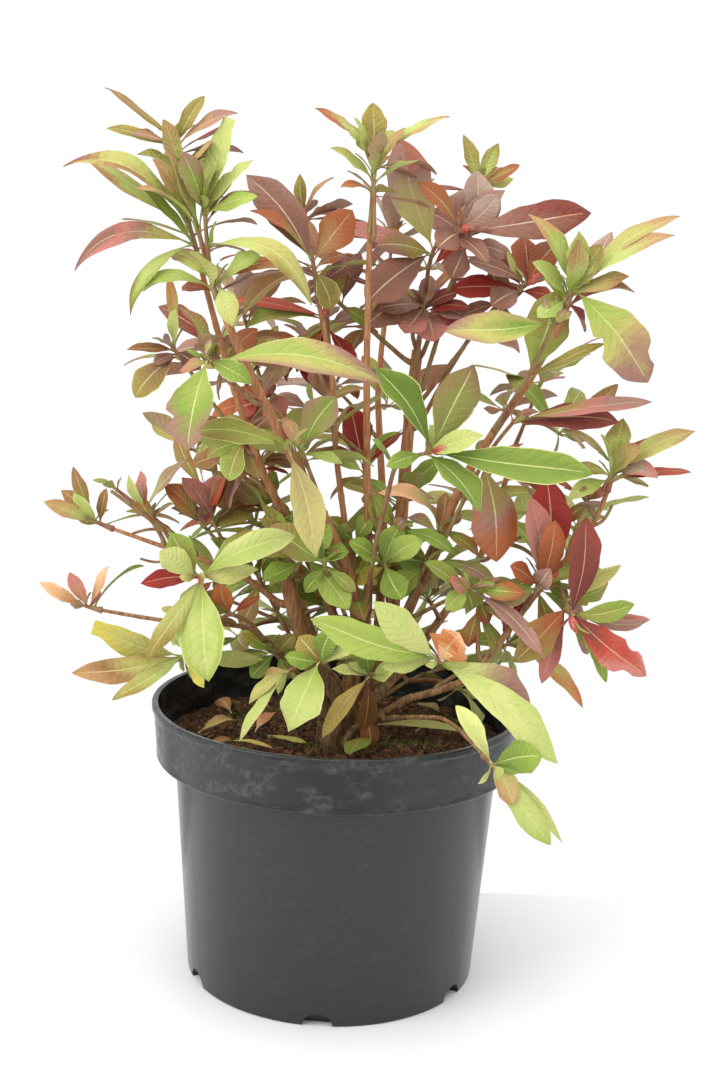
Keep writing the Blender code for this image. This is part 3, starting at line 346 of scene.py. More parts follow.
            (-52, -14, -30, 13, 30, "lime>olive"), (-18, 6, 22, 9, 20, "lime"),
            (14, -16, -22, 12, 20, "yellow")], 1),
    ]),
    ("left_inner_leaves", "stub", 0.45, [
        ((-64, 12, 300), [
            (-36, -8, 30, 18, 40, "green"), (10, -8, 36, 18, 30, "olive"), (-30, 12, -16, 18, 30, "green"),
            (16, 20, 24, 18, 30, "fresh"), (-14, -6, -36, 18, 30, "olive>bronze")], 2),
    ]),
    ("mid_left_leaves", "twin_stem", 0.34, [
        ((-74, 14, 394), [
            (-46, -20, 26, 20, 50, "olive>bronze"), (-44, 8, -12, 20, 40, "bronze"),
            (22, -8, 34, 20, 30, "olive"), (-16, 0, -40, 20, 30, "mauve"),
            (-20, 26, 30, 20, 30, "green>olive"), (40, 10, -4, 18, 40, "bronze>mauve")], 2),
    ]),
    ("trailing_tip", "trailing_shoot", 1.0, [
        ((107, -132, 206), [
            (-26, 10, 38, 13, 30, "pale"), (34, 6, 6, 22, 20, "green"), (16, -12, -24, 16, 20, "pale>tan"),
            (40, -20, -52, 17, 25, "pale>lime>fresh"), (54, 4, -58, 8, 30, "lime>pale")], 0),
    ]),
]

# Bare ends of old twigs and flower stalks: each a path and its width.
SNAGS = [
    ([(-124, -4, 318), (-132, -10, 336), (-149, -16, 350), (-170, -20, 366)], 1.3),
    ([(-132, -10, 336), (-142, -14, 338), (-155, -16, 334)], 1.0),
    ([(-122, -3, 319), (-136, -5, 311), (-150, -8, 314)], 0.9),
    ([(174, -30, 353), (186, -30, 358), (192, -32, 371)], 1.1),
    ([(50, 44, 470), (45, 44, 487), (50, 46, 485)], 1.4),
    ([(3, -30, 284), (-2, -34, 294), (-6, -36, 303)], 0.9),
]

# Leaves on finer twigs inside the crown, in the same form.
FINER_MASSES = [
    ("leader_crown_middle", "leader", 1.0, [
        ((-106, -62, 556), [
            (-28, -18, 42, 18, 40, "lime>lime>tan"), (-8, -20, 54, 17, 25, "lime>sage>tan"),
            (-50, -16, 24, 15, 60, "fresh>lime>tan"), (14, -18, 44, 14, 20, "pale>lime")], 0),
        ((-116, -62, 590), [
            (-12, -14, 34, 14, 20, "lime>tan"), (20, -14, 22, 13, 30, "sage>tan"),
            (-30, -10, 14, 13, 45, "lime>sage"), (10, 14, 26, 13, 25, "olive")], 0),
    ]),
    ("leader_crown_low", "leader", 0.99, [
        ((-92, -68, 520), [
            (56, -8, 12, 14, 50, "olive>rust>tan"), (-40, 6, 16, 15, 60, "lime>sage>mauve"),
            (30, -16, 20, 15, 40, "lime>fresh"), (12, -22, -26, 15, 50, "pale>sage")], 0),
    ]),
    ("centre_crown_middle", "upright_stem", 0.99, [
        ((12, -35, 596), [
            (-14, -16, 36, 16, 20, "fresh>lime nibbled"), (20, -14, 32, 15, 30, "lime>tan nibbled"),
            (4, -22, 30, 15, 10, "lime>tan nibbled"), (-30, -10, 20, 13, 40, "lime>sage"),
            (30, 6, 16, 13, 40, "fresh>lime")], 0),
    ]),
    ("right_crown_middle", "right_stem", 0.99, [
        ((150, -44, 520), [
            (-8, -20, 42, 18, 25, "lime>sage"), (10, -22, 36, 16, 25, "fresh>lime>tan"),
            (34, -16, 24, 15, 50, "lime>sage>tan"), (-26, -14, 24, 14, 50, "fresh>lime"),
            (-20, -16, -12, 14, 40, "green>lime")], 0),
    ]),
    ("right_tip_middle", "low_right_branch", 0.99, [
        ((190, -30, 392), [
            (-18, -14, 30, 14, 30, "lime>sage"), (18, -14, 26, 14, 30, "lime>tan"),
            (-30, -12, -14, 13, 40, "fresh>lime"), (34, -8, 14, 13, 50, "lime>pink")], 0),
    ]),
    ("upper_fork", "back_right_stem", 0.97, [
        ((11, 30, 489), [
            (-11, -4, -19, 17, 30, "tan>bronze"), (22, 8, 5, 11, 40, "bronze"),
            (-1, 10, -17, 15, 30, "tan>mauve")], 0),
        ((-10, 14, 506), [
            (-22, -2, 2, 13, 50, "olive>plum"), (-10, -2, 28, 24, 20, "olive>bronze"),
            (12, 10, 38, 16, 30, "plum"), (21, 8, -14, 12, 30, "olive>green")], 0),
        ((-22, 0, 522), [
            (-13, 6, -11, 13, 40, "plum"), (25, 12, 19, 18, 30, "plum>mauve")], 0),
    ]),
    ("plum_leaves", "upright_stem", 0.86, [
        ((23, 10, 516), [
            (-26, -8, 8, 13, 30, "plum>maroon"), (-11, -4, 25, 18, 30, "lime>crimson"),
            (9, 4, 25, 22, 20, "olive>plum"), (-16, 4, -14, 16, 30, "plum"),
            (18, -6, 11, 13, 60, "plum>mauve")], 0),
    ]),
    ("pink_plum_leaves", "back_right_stem", 0.93, [
        ((53, 20, 507), [
            (-37, -10, -4, 24, 40, "mauve>plum"), (-14, -16, -19, 23, 30, "plum>pink"),
            (11, -12, -21, 23, 30, "mauve>pink"), (24, -4, 14, 14, 40, "maroon"),
            (36, -6, 4, 14, 50, "crimson>maroon"), (-14, 8, 18, 18, 30, "plum>olive"),
            (5, 10, 29, 15, 30, "mauve")], 0),
    ]),
    ("dusky_leaves", "back_right_stem", 0.985, [
        ((83, 6, 557), [
            (4, 6, 47, 24, 30, "dusk"), (24, -2, 28, 13, 30, "dusk>mauve"),
            (-32, 4, 20, 19, 30, "mauve>plum"), (-28, -10, 3, 13, 40, "dusk>mauve"),
            (37, 6, -9, 16, 30, "mauve"), (-9, -4, -24, 18, 30, "mauve>plum")], 0),
    ]),
    ("red_fork_leaves", "back_right_stem", 0.88, [
        ((109, 26, 512), [
            (-7, 2, 22, 20, 20, "olive>plum"), (-34, 4, 15, 15, 40, "crimson>maroon"),
            (-26, 6, -11, 14, 30, "plum>mauve"), (19, 6, 15, 17, 30, "bronze>plum"),
            (15, 6, -14, 12, 40, "plum")], 0),
    ]),
    ("red_low_leaves", "inner_stem", 0.66, [
        ((-34, 4, 480), [
            (-29, -6, -40, 19, 30, "sage>mauve"), (-13, 6, -31, 19, 25, "crimson"),
            (-38, 8, -18, 21, 40, "olive>bronze"), (-46, 14, -1, 16, 50, "rust>bronze"),
            (-34, 12, -28, 16, 40, "olive>bronze"), (21, 6, -26, 9, 20, "mauve>dusk"),
            (20, 10, -33, 15, 30, "tan>mauve")], 0),
    ]),
    ("round_bronze", "twin_stem", 0.8, [
        ((-89, -24, 461), [
            (16, 6, 30, 25, 30, "bronze>rust"), (-4, 2, -25, 14, 40, "dead"),
            (21, 8, 3, 10, 20, "green>sage"), (-21, 12, 8, 13, 40, "mauve>olive")], 0),
    ]),
    ("pink_back_leaves", "back_left_stem", 0.9, [
        ((-69, 80, 428), [
            (18, -6, -14, 27, 30, "mauve>pink"), (-21, -4, -8, 21, 40, "crimson>pink"),
            (-41, 2, -13, 16, 40, "rust"), (-9, -4, -23, 16, 30, "rust>scarlet"),
            (-29, 8, 6, 14, 30, "tan>rust"), (4, 4, 28, 17, 30, "bronze>plum")], 0),
    ]),
    ("olive_drop_leaves", "twin_stem", 0.56, [
        ((-74, -20, 408), [
            (-10, -8, -30, 20, 30, "olive>fresh"), (11, 2, -28, 13, 30, "olive>tan"),
            (-29, 4, -13, 13, 50, "green>olive"), (15, 8, 19, 13, 40, "bronze>mauve"),
            (-26, 10, 14, 13, 30, "tan>rust")], 0),
    ]),
    ("red_slivers", "twin_stem", 0.44, [
        ((-66, 8, 384), [
            (21, 2, 5, 4, 60, "crimson"), (22, 6, -4, 7, 40, "scarlet>crimson"),
            (-12, 4, 7, 10, 30, "maroon>plum"), (-22, 4, -9, 12, 40, "rust>bronze"),
            (8, 2, -20, 13, 30, "olive")], 0),
    ]),
    ("oval_front_leaf", "leader", 0.6, [
        ((-31, -58, 406), [
            (23, -6, 39, 24, 20, "green>mauve"), (-15, 4, 23, 10, 50, "sage>pink"),
            (28, -2, -6, 10, 70, "green>lime")], 0),
    ]),
    ("crimson_heart", "upright_stem", 0.48, [
        ((13, 12, 387), [
            (-12, 2, 44, 24, 15, "crimson"), (29, 4, 28, 12, 30, "crimson>maroon"),
            (24, 12, 28, 12, 40, "green"), (27, 14, 31, 3, 10, "scarlet"),
            (-23, 4, 9, 12, 50, "lime>green"), (-25, 0, -19, 13, 40, "olive>bronze"),
            (20, 6, -18, 12, 30, "green")], 0),
    ]),
    ("left_heart_leaves", "back_left_stem", 0.62, [
        ((-64, 40, 349), [
            (-25, -4, 18, 17, 40, "sage>mauve"), (10, -8, 29, 17, 30, "green"),
            (-37, -2, 2, 12, 50, "rust>bronze"), (-35, -6, -7, 11, 40, "olive>mauve"),
            (-39, -8, -12, 8, 30, "crimson"), (-44, 4, 27, 20, 40, "bronze>olive"),
            (20, 4, -3, 14, 30, "olive"), (4, -4, -21, 15, 30, "green>olive")], 0),
    ]),
    ("mauve_left_leaves", "upper_left_branch", 0.46, [
        ((-101, 14, 344), [
            (-27, 0, 25, 16, 30, "mauve>pink"), (-31, 4, 6, 12, 40, "pink>mauve"),
            (14, 2, 34, 13, 30, "olive>rust"), (-17, 2, -15, 10, 30, "olive>green"),
            (20, 6, 14, 10, 40, "bronze")], 0),
    ]),
    ("shade_leaves", "twin_stem", 0.24, [
        ((-42, -24, 326), [
            (-23, 6, 13, 13, 50, "green"), (6, 6, 29, 17, 40, "mid"), (-33, 8, 2, 13, 40, "green>olive"),
            (18, 4, 25, 16, 40, "green"), (-10, 2, 33, 13, 60, "olive>green"), (24, 12, 6, 13, 30, "deep"),
            (-16, 0, -20, 13, 40, "green>olive")], 0),
    ]),
    ("mauve_oval", "leader", 0.3, [
        ((-13, -46, 323), [
            (-39, -8, 28, 24, 30, "green>tan"), (-27, 4, 37, 16, 40, "mid"),
            (-14, 4, -20, 13, 40, "green"), (21, 6, -17, 11, 50, "green>sage")], 0),
    ]),
    ("twig_whorl_a", "upright_stem", 0.27, [
        ((8, -16, 335), [
            (12, -4, 22, 16, 10, "green"), (-20, 6, 18, 15, 40, "mid>olive"),
            (-22, 4, -6, 12, 40, "green")], 0),
        ((29, -20, 340), [
            (28, -4, -13, 12, 60, "olive>mid"), (-8, 2, -31, 12, 30, "olive>green"),
            (-11, 2, 27, 16, 30, "olive"), (-19, 6, 12, 12, 40, "green")], 0),
        ((39, -24, 347), [
            (42, -8, -16, 12, 80, "green"), (7, -2, 8, 10, 150, "olive>mauve"),
            (-15, 4, 24, 13, 30, "olive>green"), (19, 6, -6, 10, 60, "green>olive")], 0),
    ]),
    ("peach_arch", "right_stem", 0.36, [
        ((70, -16, 348), [
            (-46, -8, 25, 16, 120, "olive>peach"), (30, -6, -19, 13, 70, "green>rust"),
            (5, 8, 27, 12, 20, "bronze"), (-22, 6, 9, 12, 40, "sage>mauve"),
            (18, 10, 12, 12, 40, "olive>mauve")], 0),
    ]),
    ("right_arches", "right_stem", 0.2, [
        ((62, -18, 323), [
            (54, -12, -18, 15, 60, "green>mauve"), (-22, -4, 1, 16, 30, "mid"),
            (18, 6, -11, 9, 70, "green"), (10, 8, -19, 10, 50, "olive"),
            (-24, 2, -22, 19, 30, "fresh")], 0),
    ]),
    ("low_right_leaves", "low_right_branch", 0.5, [
        ((99, -40, 301), [
            (8, -2, -18, 20, 20, "green>scarlet"), (-17, -6, 15, 17, 20, "sage>pink"),
            (-20, 0, -8, 9, 20, "lime"), (37, 8, 16, 13, 40, "mid>bronze"),
            (30, 6, -15, 13, 50, "olive>mauve"), (-6, 2, -30, 13, 40, "olive>rust"),
            (24, 4, -33, 13, 40, "green>olive")], 0),
    ]),
    ("bronze_arch", "low_right_branch", 0.88, [
        ((173, -30, 374), [
            (-56, 8, 11, 11, 90, "rust>maroon"), (8, 4, 13, 16, 20, "bronze>pink"),
            (-16, 6, -16, 14, 30, "olive>crimson")], 0),
    ]),
    ("right_under_leaves", "low_right_branch", 0.66, [
        ((143, -34, 314), [
            (-28, 0, -10, 13, 50, "mid>bronze"), (23, 2, -14, 13, 60, "green>olive"),
            (33, 8, -6, 11, 40, "olive"), (12, 6, 32, 16, 20, "mauve>crimson"),
            (-18, 6, -32, 7, 20, "scarlet"), (18, 6, -46, 14, 30, "olive>mauve"),
            (39, 10, -26, 14, 30, "green>mauve")], 0),
    ]),
    ("low_middle_leaves", "leader", 0.1, [
        ((9, -34, 265), [
            (6, -4, -17, 11, 20, "green"), (-22, 2, 5, 13, 40, "green>olive"),
            (-26, 4, -14, 13, 40, "green"), (19, 2, 9, 11, 40, "lime"),
            (17, 0, -16, 10, 60, "lime>yellow"), (-7, 6, -23, 11, 30, "olive")], 0),
    ]),
    ("low_left_greens", "stub", 0.3, [
        ((-50, -20, 251), [
            (-23, 2, 12, 13, 40, "green>yellow"), (-32, 0, -4, 13, 40, "lime>olive"),
            (-17, -4, -18, 15, 30, "green"), (14, 4, 15, 13, 30, "olive"),
            (12, 2, -17, 12, 30, "green>olive"), (-38, 8, 13, 10, 40, "lime")], 0),
    ]),
    ("low_left_edge", "low_left_branch", 0.5, [
        ((-112, -34, 281), [
            (-10, -2, -25, 13, 30, "lime"), (15, 6, 22, 13, 30, "scarlet>rust"),
            (-22, 2, -13, 10, 40, "sage"), (22, 2, -22, 11, 30, "green>lime"),
            (4, 4, -31, 9, 30, "yellow>olive")], 0),
    ]),
    ("left_fork_leaves", "upper_left_branch", 0.8, [
        ((-145, 8, 341), [
            (-11, 4, 16, 10, 20, "olive>rust"), (16, 4, 15, 12, 40, "tan>khaki"),
            (15, 2, -7, 9, 40, "orange>tan")], 0),
    ]),
]

BACK_MASSES = [
    ("back_left_crown", "back_left_stem", 1.0, (-14, 14, 46), 7),
    ("back_left_side", "back_left_stem", 0.72, (-52, 20, 22), 5),
    ("back_left_low", "back_left_stem", 0.36, (-54, 22, 14), 5),
    ("back_crown", "back_stem", 1.0, (2, 14, 44), 7),
    ("back_side", "back_stem", 0.62, (-30, 44, 26), 5),
    ("back_low", "back_left_stem", 0.30, (22, 62, 10), 5),
    ("far_right_crown", "far_right_stem", 1.0, (16, 10, 44), 6),
    ("far_right_side", "far_right_stem", 0.70, (46, 14, 22), 5),
    ("far_right_low", "far_right_stem", 0.22, (40, 44, 4), 5),
]
# Whorls that the rule fills in among the stems: limb, how far along it, the twig's reach, and leaves.
FILLING = [
    ("back_left_stem", 0.95, (-16, -14, 26), 6), ("back_left_stem", 0.80, (16, -22, 26), 6),
    ("back_left_stem", 0.60, (-24, -20, 20), 6), ("back_left_stem", 0.42, (18, -26, 14), 6),
    ("twin_stem", 0.78, (-18, 24, 16), 6), ("twin_stem", 0.52, (-24, 22, 14), 6),
    ("leader", 0.62, (-8, 32, 18), 6), ("leader", 0.38, (-16, 28, 16), 5),
    ("upright_stem", 0.62, (-26, 26, 16), 5), ("upright_stem", 0.34, (-20, 30, 8), 6),
    ("stub", 0.92, (-12, 26, 22), 6), ("back_stem", 0.42, (12, -22, 18), 5),
    ("far_right_stem", 0.50, (-12, -22, 22), 6), ("far_right_stem", 0.82, (-18, -24, 16), 6),
    ("right_stem", 0.30, (14, 26, 12), 5), ("low_right_branch", 0.75, (8, 24, 18), 5),
]
BACK_LEAF_LENGTH = (46, 66)
BACK_LEAF_WIDTH = (17, 25)
BACK_LEAF_RISE = (-18, 58)  # degrees above level
BACK_FORKS = 2  # side twigs on each of these
BACK_FORK_SPREAD = 38

# Moss patches: middle x and y, half sizes, in mm.
MOSS = [
    (-16, -14, 16, 12), (112, 52, 22, 16), (54, 0, 24, 14), (40, -56, 20, 10), (70, 60, 30, 20),
    (-70, 60, 24, 22)]

# Fallen leaves: root, reach, width, arch, tint. They lie on the peat, but for two dead ones caught
# against the trunk.
FALLEN = [
    ((20, 16, 184), (84, -14, 1), 9, 24, "khaki>pale"),
    ((24, -8, 184), (-14, -40, -2), 20, 50, "olive>green"),
    ((-52, -12, 183), (30, -18, 1), 8, 20, "sage>yellow"),
    ((-82, -28, 183), (36, -15, 0), 6, 20, "yellow>straw"),
    ((-104, -16, 184), (26, 18, 5), 14, 60, "straw>tan"),
    ((-62, -8, 184), (12, 24, 8), 13, 70, "peach>orange"),
    ((-96, -40, 183), (18, 10, 2), 8, 30, "tan>dead"),
    ((12, -16, 214), (12, -3, -9), 11, 30, "orange>rust"),
    ((18, -17, 206), (8, -4, -26), 17, 50, "orange>dead"),
    ((36, 40, 184), (14, -4, 2), 5, 20, "yellow"),
    ((60, 8, 184), (18, 16, 3), 8, 30, "pale>straw"),
    ((84, -60, 183), (26, 8, 3), 12, 40, "dead"),
    ((-20, 92, 183), (34, 10, 3), 15, 40, "rust>dead"),
    ((60, 84, 183), (20, -30, 3), 14, 40, "khaki>dead"),
    ((-84, 40, 183), (-14, 26, 3), 12, 40, "tan>dead"),
]

FLOWER_BUD_SIZE = (15, 7.5)  # length and width
LEAF_BUD_SIZE = (6, 2.8)
# Whorls with a flower bud for next spring: the mass and which of its whorls.
FLOWER_BUDS = {
    ("orange_whorl", 1), ("inner_red_whorl", 0), ("upper_centre", 1), ("upper_centre", 2), ("red_whorl", 1),
    ("centre_whorl", 1), ("lower_right_whorl", 0), ("back_crown", 3), ("far_right_crown", 3)}


# ---------------------------------------------------------------- colours and materials

# Leaf tones, from the green of summer through autumn's bronze and red to grey-mauve, and then pale
# shade leaves, yellowed and pink ones, and dead brown.
TONES = {
    "deep": "#5A6C26", "mid": "#708634", "green": "#8CA244", "fresh": "#A4B554", "lime": "#BDC672",
    "sage": "#BCB466", "olive": "#9E8C48", "bronze": "#9A7044", "tan": "#BC9060", "rust": "#AC6038",
    "scarlet": "#B24434", "crimson": "#983028", "maroon": "#88443A", "plum": "#926452",
    "mauve": "#A87C6C", "dusk": "#B49888",
    "pale": "#CED280", "yellow": "#D4C454", "straw": "#CAAE60", "khaki": "#C0B470",
    "peach": "#F4BE90", "pink": "#C87C70", "orange": "#C87440", "dead": "#8E6236",
}
# The kind of leaf that each group of tones shows, with its paler underside and its midrib.
KINDS = {
    "green": ("deep mid green fresh lime sage olive pale yellow", "#B8BC6A", "#CCD286"),
    "tan": ("bronze tan straw khaki dead peach", "#BEA078", "#D8BE8E"),
    "rose": ("rust scarlet crimson maroon pink orange", "#B8886E", "#CE9E7A"),
    "mauve": ("plum mauve dusk", "#B89A88", "#D2BE9E"),
}
KIND_OF = {tone: kind for kind, (tones, _, _) in KINDS.items() for tone in tones.split()}
RUN = 20  # steps of tone from a leaf's base to its tip
NEAR_TONE = 5  # tones closer than this, of 255, share one material
PLAIN_TINT = (0.9, 1.08)  # how a leaf of one tint goes from a little darker to a little paler
VEIN_TURNS = 10 * math.tau  # side veins along a leaf, as turns of a wave
VEIN_LEAN = -0.35


def rgb(code):
    """The three values, 0 to 255, of a hex code."""
    return np.array([int(code[k:k + 2], 16) for k in (1, 3, 5)])


def colour(code):
    """The linear RGBA of an sRGB hex value."""
    shares = (rgb(code) / 255).tolist()
    return (*[p / 12.92 if p <= 0.04045 else ((p + 0.055) / 1.055) ** 2.4 for p in shares], 1)


def add_node(tree, kind, links=(), **settings):
    """A node with its settings. links maps an input (by name or number) to a socket or a value."""
    node = tree.nodes.new(kind)
    for key, value in settings.items():
        setattr(node, key, value)
    for key, value in dict(links).items():
        if isinstance(value, bpy.types.NodeSocket):
            tree.links.new(value, node.inputs[key])
        else:
            node.inputs[key].default_value = value
    return node


def calc(tree, operation, *values):
    """The result of one Math node on these sockets or numbers."""
    return add_node(tree, "ShaderNodeMath", dict(enumerate(values)), operation=operation).outputs[0]


def new_material(name, values):
    """(material, tree, its Principled shader). values are plain values for the shader's sockets."""
    made = bpy.data.materials.new(name)
    made.use_nodes = True
    shader = made.node_tree.nodes["Principled BSDF"]
    for key, value in values.items():
        shader.inputs[key].default_value = value
    return made, made.node_tree, shader


def object_place(tree):
    return add_node(tree, "ShaderNodeTexCoord").outputs["Object"]


def object_height(tree):
    return add_node(tree, "ShaderNodeSeparateXYZ", {0: object_place(tree)}).outputs[2]


def noise_at(tree, size_mm, stretch=(1, 1, 1), detail=3.0, seed=0.0):
    """Noise on Object coordinates whose lumps are about size_mm across."""
    turned_to = add_node(tree, "ShaderNodeMapping", {
        "Vector": object_place(tree), "Location": (seed, seed * 0.7, 0), "Scale": stretch}).outputs[0]
    return add_node(tree, "ShaderNodeTexNoise", {
        "Vector": turned_to, "Scale": 1 / (size_mm * MM), "Detail": detail}).outputs["Fac"]


def between(tree, value, low, high, to_low=0.0, to_high=1.0):
    """The value, from this range to that one."""
    return add_node(tree, "ShaderNodeMapRange", {
        "Value": value, "From Min": low, "From Max": high, "To Min": to_low, "To Max": to_high}).outputs[0]


def mixed(tree, share, first, second):
    """A colour between two, each a hex value or a socket."""
    node = add_node(tree, "ShaderNodeMix", data_type="RGBA")
    for key, value in (("Factor", share), ("A", first), ("B", second)):
        socket = next(s for s in node.inputs if s.name == key and s.enabled)
        if isinstance(value, bpy.types.NodeSocket):
            tree.links.new(value, socket)
        else:
            socket.default_value = colour(value)
    return next(s for s in node.outputs if s.enabled)


def bump(tree, shader, height, depth_mm, strength=1.0):
    """Relief of this depth from a 0 to 1 height."""
    node = add_node(tree, "ShaderNodeBump", {
        "Height": height, "Distance": depth_mm * MM, "Strength": strength})
    tree.links.new(node.outputs[0], shader.inputs["Normal"])


def leaf_material(name, tone):
    """Living azalea leaf: a thin waxy skin over soft tissue. It gives a satin face that is duller in
    places, with sunken side veins and slight puckers between them, and no clear reflections."""
    made, tree, shader = new_material(name, {"Base Color": tone, "IOR": 1.45, "Specular IOR Level": 0.25})
    # Side veins leave the midrib about every 5 mm of a 60 mm leaf and lean towards its tip.
    across, along, _ = add_node(tree, "ShaderNodeSeparateXYZ", {
        0: add_node(tree, "ShaderNodeUVMap", uv_map="leaf").outputs[0]}).outputs
    from_midrib = calc(tree, "ABSOLUTE", calc(tree, "SUBTRACT", across, 0.5))
    lean = calc(tree, "MULTIPLY_ADD", from_midrib, VEIN_LEAN, along)
    wander = between(tree, noise_at(tree, 11, detail=1, seed=6.0), 0, 1, 0, 6)
    wave = calc(tree, "SINE", calc(tree, "MULTIPLY_ADD", lean, VEIN_TURNS, wander))
    veins = between(tree, wave, 0.1, 1.0, 0.55, 0.0)
    pucker = between(tree, noise_at(tree, 3.4), 0.25, 0.75)
    bump(tree, shader, calc(tree, "ADD", veins, pucker), 0.55, 0.8)
    wax = noise_at(tree, 9, seed=3.1)
    tree.links.new(between(tree, wax, 0.3, 0.7, 0.4, 0.6), shader.inputs["Roughness"])
    return made


class Palette:
    """The plain tones that leaves wear. One is added when a leaf first asks for it."""

    def __init__(self):
        self.tones = []
        self.runs = {}

    def place(self, tone):
        """The number of this tone, or of one that is nearly the same."""
        if self.tones:
            gaps = np.abs(np.array(self.tones) - tone).max(axis=1)
            if gaps.min() < NEAR_TONE:
                return int(gaps.argmin())
        self.tones.append(tone)
        return len(self.tones) - 1

    def run(self, tint):
        """The tones of a leaf of this tint, from its base to its tip."""
        if tint not in self.runs:
            stops = np.array([rgb(TONES[name]) for name in tint.split(">")])
            if len(stops) == 1:
                stops = np.concatenate([stops * share for share in PLAIN_TINT])
            at = np.linspace(0, len(stops) - 1, RUN + 1)
            tones = np.stack([np.interp(at, range(len(stops)), stops[:, k]) for k in range(3)], axis=1)
            self.runs[tint] = [self.place(tone) for tone in tones]
        return self.runs[tint]

    def sides(self):
        """(undersides, midribs): the place of each kind's tone."""
        return [{kind: self.place(rgb(row[k])) for kind, row in KINDS.items()} for k in (1, 2)]

    def materials(self):
        codes = ["#" + "".join(f"{int(min(max(round(v), 0), 255)):02X}" for v in tone) for tone in self.tones]
        return [leaf_material(f"azalea_leaf_{k:03d}", colour(code)) for k, code in enumerate(codes)]


def bark_material():
    """Azalea bark: thin, reddish brown and smooth when young, greyer and split into strips low down."""
    made, tree, shader = new_material("bark", {"Roughness": 0.72})
    age = between(tree, object_height(tree), 0.34, 0.19)
    strips = noise_at(tree, 2.2, (1, 1, 0.16), detail=5)
    young = mixed(tree, between(tree, strips, 0.35, 0.7), "#9E643A", "#C68E60")
    old = mixed(tree, between(tree, strips, 0.38, 0.62), "#5C4428", "#A68256")
    lichen = between(tree, noise_at(tree, 9, seed=2.2), 0.58, 0.72, 0, 0.35)
    tone = mixed(tree, lichen, mixed(tree, age, young, old), "#8C8878")
    tree.links.new(tone, shader.inputs["Base Color"])
    bump(tree, shader, strips, 0.7, 0.9)
    return made


def twig_material():
    """This year's shoots: smooth, green under a reddish skin, with a slight shine."""
    made, tree, shader = new_material("young_shoot", {"Roughness": 0.5})
    tone = mixed(tree, between(tree, noise_at(tree, 5, (1, 1, 0.3)), 0.35, 0.65), "#9A8450", "#8A4E38")
    tree.links.new(tone, shader.inputs["Base Color"])
    bump(tree, shader, noise_at(tree, 1.4, (1, 1, 0.4)), 0.3, 0.6)
    return made


def plastic_material():
    """Black polypropylene, injection moulded: a satin skin that mirrors the room softly, with potting
    dust, water marks and handling scuffs on the collar."""
    made, tree, shader = new_material("black_polypropylene", {"IOR": 1.52})
    collar = between(tree, object_height(tree), 0.164, 0.171)
    dust = between(tree, noise_at(tree, 22, (1, 1, 2.2), detail=7), 0.47, 0.62)
    grit = between(tree, noise_at(tree, 4.0, detail=5, seed=4.4), 0.40, 0.62)
    scuffs = between(tree, noise_at(tree, 5, (0.4, 0.4, 1.6), detail=4, seed=1.3), 0.64, 0.76)
    amount = calc(tree, "MULTIPLY_ADD", collar, 0.10, 0.02)
    dusty = calc(tree, "MULTIPLY", calc(tree, "MULTIPLY", dust, grit), amount)
    tone = mixed(tree, dusty, "#1C1D1F", "#A8A49C")
    tone = mixed(tree, calc(tree, "MULTIPLY", scuffs, amount), tone, "#8E8A84")
    tree.links.new(tone, shader.inputs["Base Color"])
    dull = calc(tree, "MULTIPLY", dust, collar)
    tree.links.new(between(tree, dull, 0, 1, 0.25, 0.40), shader.inputs["Roughness"])
    bump(tree, shader, noise_at(tree, 0.9, detail=2), 0.05, 0.4)
    return made


def peat_material():
    """Moist sedge peat: matt dark brown crumbs with lighter fibres."""
    made, tree, shader = new_material("peat", {"Roughness": 0.95})
    tone = mixed(tree, between(tree, noise_at(tree, 4, detail=6), 0.35, 0.68), "#24160C", "#6E4C30")
    tree.links.new(tone, shader.inputs["Base Color"])
    bump(tree, shader, noise_at(tree, 2.0, detail=6, seed=1.0), 1.6)
    return made


def plain_material(name, dark, light, size_mm, roughness):
    """A matt finish whose colour wanders between two tones, for crumbs, moss, wood and buds."""
    made, tree, shader = new_material(name, {"Roughness": roughness})
    tone = mixed(tree, between(tree, noise_at(tree, size_mm), 0.35, 0.65), dark, light)
    tree.links.new(tone, shader.inputs["Base Color"])
    return made


# ---------------------------------------------------------------- making meshes


def new_object(name, data):
    """An object with this data, in the scene."""
    made = bpy.data.objects.new(name, data)
    bpy.context.scene.collection.objects.link(made)
    return made


def mesh_from(bm, name):
    """The bmesh as a mesh; the bmesh goes."""
    mesh = bpy.data.meshes.new(name)
    bm.to_mesh(mesh)
    bm.free()
    return mesh


def mesh_of(name, points, faces):
    """A mesh in metres from points in millimetres."""
    mesh = bpy.data.meshes.new(name)
    mesh.from_pydata((np.asarray(points) * MM).tolist(), [], faces)
    return mesh


def smooth(mesh, sharp_from):
    """Shades the mesh smooth, apart from edges sharper than this angle in degrees."""
    mesh.shade_smooth()
    mesh.set_sharp_from_angle(angle=math.radians(sharp_from))


def add_piece(name, mesh, materials, nodes):
    """A finished piece that rides on the row's one body and stands for these solids."""
    for made in materials:
        mesh.materials.append(made)
    piece = new_object(name, mesh)
    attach(piece, "root")
    if nodes:
        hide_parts(*nodes)
    return piece


def turned(profile, sides):
    """A bmesh turned round Z from (radius, height) points in mm; a radius of 0 closes it."""
    bm = bmesh.new()
    rings = []
    for radius, height in profile:
        turns = [math.tau * k / sides for k in range(sides)] if radius else [0]
        rings.append([
            bm.verts.new((radius * MM * math.cos(a), radius * MM * math.sin(a), height * MM)) for a in turns])
    for low, high in zip(rings, rings[1:]):
        for k in range(sides):
            a, b = low[k % len(low)], low[(k + 1) % len(low)]
            c, d = high[(k + 1) % len(high)], high[k % len(high)]
            bm.faces.new(list(dict.fromkeys((a, b, c, d))))
    bmesh.ops.recalc_face_normals(bm, faces=bm.faces)
    return bm


